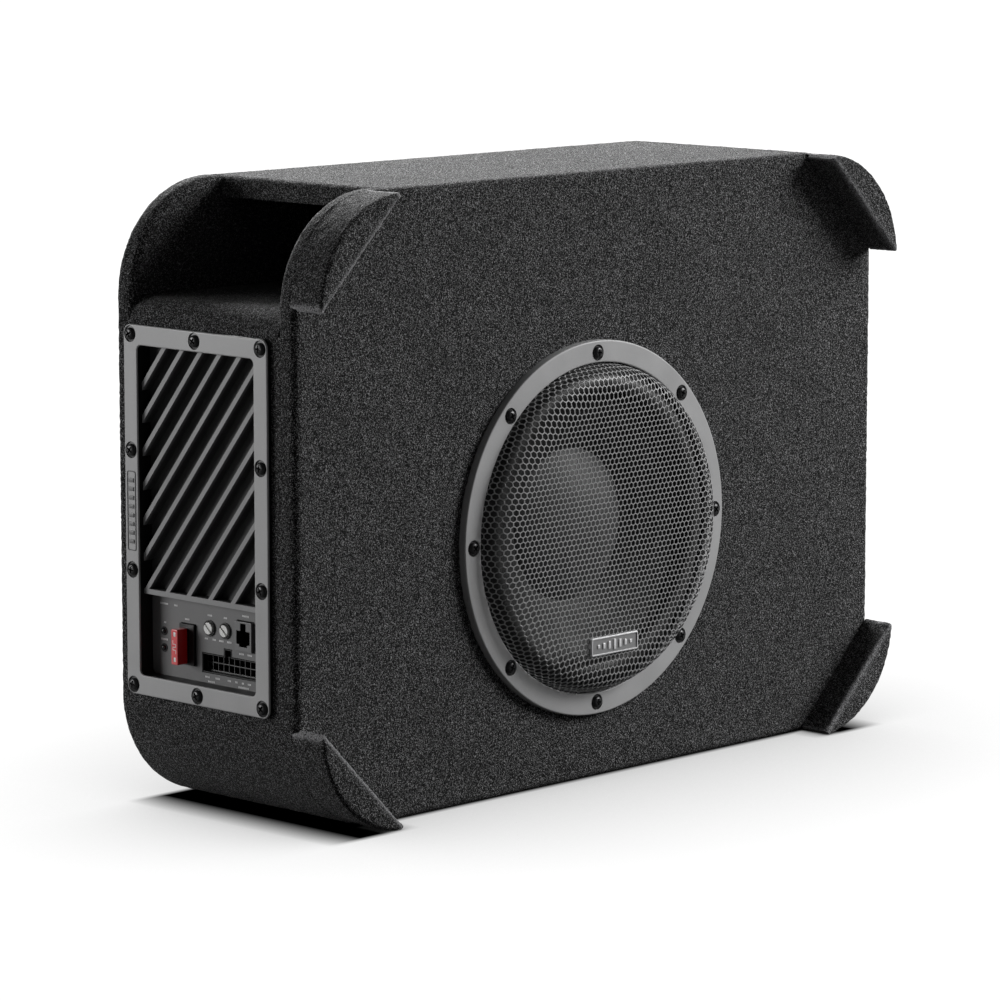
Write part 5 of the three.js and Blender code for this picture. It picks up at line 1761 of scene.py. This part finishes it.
    def lamps(self) -> None:
        """Each lamp is a rod with a domed end: x = tip + h (1 - cos a) while the radius grows as sin a."""
        for node in ("led_power", "led_protect"):
            low, high = span(node)
            middle = (low + high) / 2
            radius = float(high[2] - low[2]) / 2
            cos, sin = arc(0, 90, 10)
            profile = [(radius * s, float(low[0]) + self.lamp_dome * (1 - c)) for c, s in zip(cos, sin)]
            profile += [(radius, float(high[0])), (0.0, float(high[0]))]
            dome = turned(profile, (0.0, 0.0), 40).mapped(self.end_on).moved(0, middle[1], middle[2])
            thing = dress(to_object(f"{node}_lens", dome), Finish.LAMP)
            thing.data.set_sharp_from_angle(angle=math.radians(50))
            place_piece(thing, Body.ENCLOSURE, Slot.LAMP, node)
            self.rim(node, radius + 0.1, radius + 0.9, 0.35, 0.15, 40)

    def rim(self, node: str, inner: float, outer: float, proud: float, ease: float, steps: int) -> None:
        """Dark moulded rim round a round node: a ring on the control plate with eased edges."""
        low, high = span(node)
        middle = (low + high) / 2
        front = self.plate - proud
        section = [(inner, front), (outer, front), (outer, self.plate), (inner, self.plate)]
        ring = turned(eased(section, ease), (0.0, 0.0), steps, closed=True)
        placed = ring.mapped(self.end_on).moved(0, middle[1], middle[2])
        thing = dress(to_object(f"{node}_rim", placed), Finish.BLACK)
        place_piece(thing, Body.ENCLOSURE, Slot.BLACK)

    def end_on(self, points: Array) -> Array:
        """Turns a piece made about Y, looking along -Y, to look along -X: (x, y, z) becomes (y, -x, z)."""
        return np.stack([points[:, 1], -points[:, 0], points[:, 2]], -1)

    def trimmers(self) -> None:
        """Two slotted trimmers with painted shade in the slot, each in a dark moulded rim."""
        for node, body in (("gain_knob", Body.GAIN), ("crossover_knob", Body.CROSSOVER)):
            knob = bevelled(copied(node, f"{node}_cap"), 0.15, angle=50)
            slot_x = float(span(node)[0][0]) + 0.6

            def painted_slot_shade(at: Array, facing: Array, depth: float = slot_x) -> Array:
                """Where a face looks outwards from the bottom of the slot; these faces take black as painted shade."""
                return (at[:, 0] > depth) & (facing[:, 0] < -0.9)

            # Painted shade: the bottom of each slot is black on the white cap.
            self.dark_where(knob, Finish.WHITE, Finish.BLACK, painted_slot_shade)
            place_piece(knob, body, Slot.WHITE, node)
            self.rim(node, self.rim_inner, self.rim_outer, 0.7, 0.25, 48)

    def jack(self) -> None:
        """Remote socket with a black inside as painted shade, and six contacts."""
        socket = bevelled(copied("remote_jack", "remote_socket"), 0.25)
        low, high = span("remote_jack")
        y = (low[1] + high[1]) / 2

        def inside(at: Array, facing: Array) -> Array:
            """Where a face is behind the front and within the opening's width; these take black as painted shade."""
            return (at[:, 0] > low[0] + 0.4) & (np.abs(at[:, 1] - y) < 5.3)

        # Painted shade: the inside of the opening is black moulding.
        self.dark_where(socket, Finish.GREY, Finish.BLACK, inside)
        place_piece(socket, Body.ENCLOSURE, Slot.GREY, "remote_jack")
        pins = []
        for step in (-2.5, -1.5, -0.5, 0.5, 1.5, 2.5):
            at = y + step * self.contact_pitch
            pins.append(soft_block((low[0] + 5.5, at - 0.2, 103.2), (low[0] + 8.8, at + 0.2, 104.6), 0.08, axis=0))
        show_parts("remote_contacts", pins, Finish.GOLD, Body.ENCLOSURE, Slot.STEEL)

    def header(self) -> None:
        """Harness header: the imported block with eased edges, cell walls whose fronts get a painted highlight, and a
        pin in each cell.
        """
        block = bevelled(copied("harness_header", "harness_socket"), 0.15)
        low, high = span("harness_header")

        def walls(at: Array, facing: Array) -> Array:
            """Where a face is the front of a wall between cells; these take a painted highlight."""
            return (at[:, 0] > low[0] + 3.0) & (at[:, 0] < low[0] + 4.0) & (facing[:, 0] < -0.5)

        # Painted highlight: the wall fronts take the lighter copy of the black.
        self.dark_where(block, Finish.BLACK, Finish.WALL_HIGHLIGHT, walls)
        place_piece(block, Body.ENCLOSURE, Slot.BLACK, "harness_header")
        y, x_ends = (low[1] + high[1]) / 2, (low[0] + 6.2, high[0] - 1)
        pins = []
        for column in range(self.header_columns):
            for row in (-0.5, 0.5):
                pin_y = y + (column - (self.header_columns - 1) / 2) * self.header_pitch
                pin_z = self.header_z + row * (self.header_pitch + 0.1)
                ends = [(x, pin_y + half, pin_z + half) for x, half in zip(x_ends, (-0.5, 0.5))]
                pins.append(soft_block(*ends, 0.12, axis=0))
        show_parts("harness_pins", pins, Finish.GOLD, Body.ENCLOSURE, Slot.STEEL)

    def labels(self) -> None:
        """Rows of small plain ticks beside the controls, in place of words: y, z and number of ticks of each row."""
        x, wide, tall = self.plate, self.tick / 2, self.tick_height / 2
        rows = [
            (39.6, 112.0, 7), (30.4, 112.0, 3), (39.0, 101.9, 2), (39.6, 92.7, 6), (21.5, 105.6, 4),
            (3.7, 109.9, 4), (-8.4, 109.9, 3), (-23.9, 112.7, 6), (6.6, 97.2, 3), (0.4, 97.2, 3),
            (-5.0, 97.2, 4), (-11.2, 97.2, 4), (6.0, 76.6, 4), (-2.0, 76.6, 4), (-11.0, 76.6, 3),
            (-16.5, 76.6, 2), (-21.5, 76.6, 2), (-26.5, 76.6, 3), (3.0, 74.3, 6), (-22.0, 74.3, 9),
            (-20.6, 92.2, 4), (-27.0, 92.2, 4),
        ]
        dashes = []
        for y, z, count in rows:
            for index in range(count):
                at = y - (index - (count - 1) / 2) * (self.tick + self.tick_gap)
                low, high = (x - 0.06, at - wide, z - tall), (x + 0.1, at + wide, z + tall)
                dashes.append(soft_block(low, high, 0.03, axis=0, corner=0.08))
        show_parts("control_marks", dashes, Finish.PRINT, Body.ENCLOSURE, Slot.WHITE)


# ---------------------------------------------------------------- screws


@dataclass
class Fasteners:
    """Pan-head screws with cross recesses, in the trim ring and the bezel."""

    head: float = 3.25
    collar: float = 4.35
    height: float = 2.4
    shank: float = 1.8
    length: float = 13.0

    def build(self) -> None:
        """Makes one screw and sets a copy in place of each packed one."""
        master = self.screw()
        for index in range(8):
            low, high = span(f"ring_screw_{index + 1}")
            middle = (low + high) / 2
            self.set_screw(
                master, f"ring_screw_{index + 1}", 23.0 * index, (middle[0], low[1] + self.height, middle[2]),
                False
            )
        for index in range(10):
            low, high = span(f"bezel_screw_{index + 1}")
            middle = (low + high) / 2
            self.set_screw(
                master, f"bezel_screw_{index + 1}", 31.0 * index,
                (low[0] + self.height, middle[1], middle[2]), True
            )
        mesh = master.data
        bpy.data.objects.remove(master)
        bpy.data.meshes.remove(mesh)

    def screw(self) -> bpy.types.Object:
        """A screw about Y with its head towards -Y: a domed head and a shank turned as one, less a tapered cross."""
        top = -self.height
        profile = [
            (0, top), (1.2, top + 0.03), (2.1, top + 0.16), (2.75, top + 0.5), (3.1, top + 0.95),
            (self.head, top + 1.5)
        ]
        profile += [(self.head, -0.3), (self.collar, -0.25), (self.collar, 0.25), (self.shank, 0.25)]
        profile += [(self.shank, self.length - 2), (0, self.length)]
        thing = to_object("screw_master", turned(profile, (0.0, 0.0), 40))
        arm, width = 2.1, 0.55
        plus = np.array(
            [
                (arm, -width), (arm, width), (width, width), (width, arm), (-width, arm), (-width, width),
                (-arm, width), (-arm, -width), (-width, -width), (-width, -arm), (width, -arm),
                (width, -width)
            ]
        )
        rings = []
        for y, scale in ((top - 0.5, 1.0), (top + 0.3, 0.95), (top + 1.5, 0.45)):
            rings.append(np.stack([plus[:, 0] * scale, np.full(len(plus), y), plus[:, 1] * scale], -1))
        return carved(thing, [tube(np.array(rings))])

    def set_screw(self, master: bpy.types.Object, node: str, turn: float, seat: Sequence[float], end_on: bool) -> None:
        """Copies the screw, turns it about its own line, points it along -Y or -X, and moves it to its seat."""
        mesh = master.data.copy()
        mesh.name = f"{node}_head"
        spin = Matrix.Rotation(math.radians(turn), 4, "Y")
        point = Matrix.Rotation(math.radians(-90), 4, "Z") if end_on else Matrix.Identity(4)
        mesh.transform(Matrix.Translation(Vector(seat) * MM) @ point @ spin)
        thing = bpy.data.objects.new(f"{node}_head", mesh)
        bpy.context.scene.collection.objects.link(thing)
        dress(thing, Finish.SCREW)
        place_piece(thing, Body.ENCLOSURE, Slot.SCREW, node)


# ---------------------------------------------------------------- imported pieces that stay


class PackedPieces:
    """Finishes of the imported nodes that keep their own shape."""

    FINISHES = {
        Finish.BOARD: (
            "front_baffle", "back_panel", "bottom_panel", "right_panel", "top_panel", "left_panel",
            "port_shelf"
        ),
        Finish.BASKET: ("basket", "amp_cover"),
        Finish.COPPER: ("voice_coil",),
        Finish.STEEL: ("top_plate", "yoke"),
        Finish.FERRITE: ("magnet",),
        Finish.BOARD_GREEN: ("amp_pcb",),
    }

    def build(self) -> None:
        """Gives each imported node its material."""
        for finish, nodes in self.FINISHES.items():
            for node in nodes:
                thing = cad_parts[node]
                for slot in thing.material_slots:
                    slot.material = finish.material()
                if not thing.material_slots:
                    thing.data.materials.append(finish.material())
                log.info("%s keeps its shape in %s", node, finish.value.name)


# ---------------------------------------------------------------- studio


@dataclass(frozen=True)
class Softbox:
    """A lamp: its place, what it looks at, its sides in metres, its power in watts, and whether only gloss shows it."""

    name: str
    place: tuple[float, float, float]
    target: tuple[float, float, float]
    side: float
    power: float
    depth: float | None = None
    gloss_only: bool = False

    def build(self) -> None:
        """Makes the lamp."""
        lamp = bpy.data.lights.new(self.name, "AREA")
        lamp.shape = "RECTANGLE"
        lamp.size = self.side
        lamp.size_y = self.depth or self.side
        lamp.energy = self.power
        holder = bpy.data.objects.new(self.name, lamp)
        holder.visible_diffuse = not self.gloss_only
        bpy.context.scene.collection.objects.link(holder)
        aim = Vector(self.target) - Vector(self.place)
        holder.matrix_world = Matrix.Translation(Vector(self.place)) @ aim.to_track_quat("-Z", "Y").to_matrix().to_4x4()


@dataclass
class Studio:
    """Pale floor, white surroundings, soft lamps and the camera."""

    azimuth: float = 46.0
    elevation: float = 8.63
    distance: float = 2.6217
    aside: float = -0.00583
    above: float = -0.02043
    lens: float = 168.66
    middle_z: float = 0.168
    shade_reach: float = 0.28
    shade_border: float = 0.006
    shade_fade: float = 0.026
    shade_inset: float = 0.021
    shade_floor: float = 0.06
    shade_power: float = 0.62
    shade_gain: float = 1.10
    floor_reach: float = 12000.0
    sky_light: float = 0.05
    sky_seen: float = 1.05

    def build(self) -> None:
        """Makes the floor, the light and the camera."""
        self.floor()
        self.surroundings()
        for box in (
            Softbox("key_from_front_right", (1.75, -1.3, 1.2), (0, 0, 0.2), 1.1, 62.0),
            Softbox("top_from_right_rear", (1.5, 2.4, 1.9), (0, 0, 0.3), 1.5, 330.0),
            Softbox("fill_from_left_rear", (-2.0, 1.95, 0.6), (-0.2, 0, 0.16), 1.3, 34.0, 0.9),
            Softbox("gloss_from_left_rear", (-2.0, 1.95, 0.4), (-0.2, 0, 0.16), 1.3, 6.0, 0.8, True),
        ):
            box.build()
        self.camera()

    def floor(self) -> None:
        """A wide flat sheet under the object.

        The camera sees a glow that paints its light and shadow: white where it is open to the sky and darker where the
        object shades it: the level is the open share of the sky, less a floor, raised to a power, times a painted
        shadow that is black under the object. To everything else it is a dull grey.
        """
        reach = self.floor_reach
        places = np.array([[[x, y, 0] for x in (-reach, reach)] for y in (-reach, reach)], float)
        thing = to_object("studio_floor", Surface.grid(places))
        if thing.data.polygons[0].normal.z < 0:
            thing.data.flip_normals()
        material, tree, shader = blank("pale_floor")
        place = add_node(tree, "ShaderNodeTexCoord").outputs["Object"]
        cloud = add_node(tree, "ShaderNodeTexNoise", {"Vector": place, "Scale": 3.0, "Detail": 2.0}).outputs["Fac"]
        tree.links.new(mixed(tree, cloud, (0.08, 0.08, 0.08, 1), (0.09, 0.09, 0.09, 1)), shader.inputs["Base Color"])
        shader.inputs["Roughness"].default_value = 0.8
        openness = add_node(
            tree, "ShaderNodeAmbientOcclusion", {"Distance": self.shade_reach}, samples=16
        ).outputs["AO"]
        open_level = maths(tree, "POWER", ramp(tree, openness, self.shade_floor, 1.0), self.shade_power)
        x, y, _ = add_node(tree, "ShaderNodeSeparateXYZ", {0: place}).outputs
        low, high = (np.array(corner) for corner in CAD_BOX)
        face_low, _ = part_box("carpet_front")
        _, bumper_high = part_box("bumper_bottom_left")
        near, far = low[0] + self.shade_inset, high[0] - self.shade_inset
        # Painted shadow: black on the floor under the object's body and its lower bumpers, inset at the ends, with soft
        # borders.
        body = self.footprint(tree, x, y, (near, far), (face_low[1], high[1]))
        left = self.footprint(tree, x, y, (near, bumper_high[0]), (low[1], 0.0))
        right = self.footprint(tree, x, y, (-bumper_high[0], far), (low[1], 0.0))
        painted_shadow_under_object = maths(tree, "MAXIMUM", body, maths(tree, "MAXIMUM", left, right))
        level = maths(tree, "MULTIPLY", open_level, maths(tree, "SUBTRACT", 1.0, painted_shadow_under_object))
        strength = maths(tree, "MULTIPLY", level, self.shade_gain)
        glow = add_node(tree, "ShaderNodeEmission", {"Color": (1, 1, 1, 1), "Strength": strength})
        seen = add_node(tree, "ShaderNodeLightPath").outputs["Is Camera Ray"]
        either = add_node(tree, "ShaderNodeMixShader", {0: seen, 1: shader.outputs[0], 2: glow.outputs[0]})
        tree.links.new(either.outputs[0], tree.nodes["Material Output"].inputs["Surface"])
        thing.data.materials.append(material)

    def footprint(
        self, tree: bpy.types.NodeTree, x: Any, y: Any, x_range: Sequence[float], y_range: Sequence[float]
    ) -> Any:
        """A painted shadow mask: 1 where a floor point lies under a rectangle of the object and 0 outside, with a soft
        border.
        """
        sides = []
        for value, (low, high), soft in ((x, x_range, self.shade_fade), (y, y_range, self.shade_border)):
            sides.append(ramp(tree, value, low - soft / 2, low + soft / 2))
            sides.append(ramp(tree, value, high + soft / 2, high - soft / 2))
        return maths(
            tree, "MULTIPLY", maths(tree, "MULTIPLY", sides[0], sides[1]),
            maths(tree, "MULTIPLY", sides[2], sides[3])
        )

    def surroundings(self) -> None:
        """A white backdrop that gives off little light of its own."""
        world = bpy.data.worlds.new("white_room")
        world.use_nodes = True
        tree = world.node_tree
        shade = tree.nodes["Background"]
        seen = add_node(tree, "ShaderNodeLightPath").outputs["Is Camera Ray"]
        tree.links.new(ramp(tree, seen, 0.0, 1.0, self.sky_light, self.sky_seen), shade.inputs["Strength"])
        shade.inputs["Color"].default_value = (1, 1, 1, 1)
        bpy.context.scene.world = world
        bpy.context.scene.view_settings.view_transform = "Standard"

    def camera(self) -> None:
        """A long lens at the front left corner, a little above the middle."""
        a, e = math.radians(self.azimuth), math.radians(self.elevation)
        back = Vector((-math.sin(a) * math.cos(e), -math.cos(a) * math.cos(e), math.sin(e)))
        right = Vector((math.cos(a), -math.sin(a), 0))
        up = back.cross(right)
        target = Vector((0, 0, self.middle_z)) + right * self.aside + up * self.above
        place = target + back * self.distance
        data = bpy.data.cameras.new("camera")
        data.lens = self.lens
        data.sensor_width = 36.0
        data.clip_end = 60.0
        holder = bpy.data.objects.new("camera", data)
        bpy.context.scene.collection.objects.link(holder)
        turn = Matrix((right, up, back)).transposed().to_4x4()
        holder.matrix_world = Matrix.Translation(place) @ turn
        bpy.context.scene.camera = holder


def main() -> None:
    """Builds the studio, then the subwoofer's sub-assemblies in order."""
    logging.basicConfig(level=logging.INFO, format="%(message)s")
    Studio().build()
    for assembly in (PackedPieces(), CarpetedCabinet(), CornerBumpers(), Woofer(), Grille(), Amplifier(), Fasteners()):
        assembly.build()


if __name__ == "__main__":
    main()
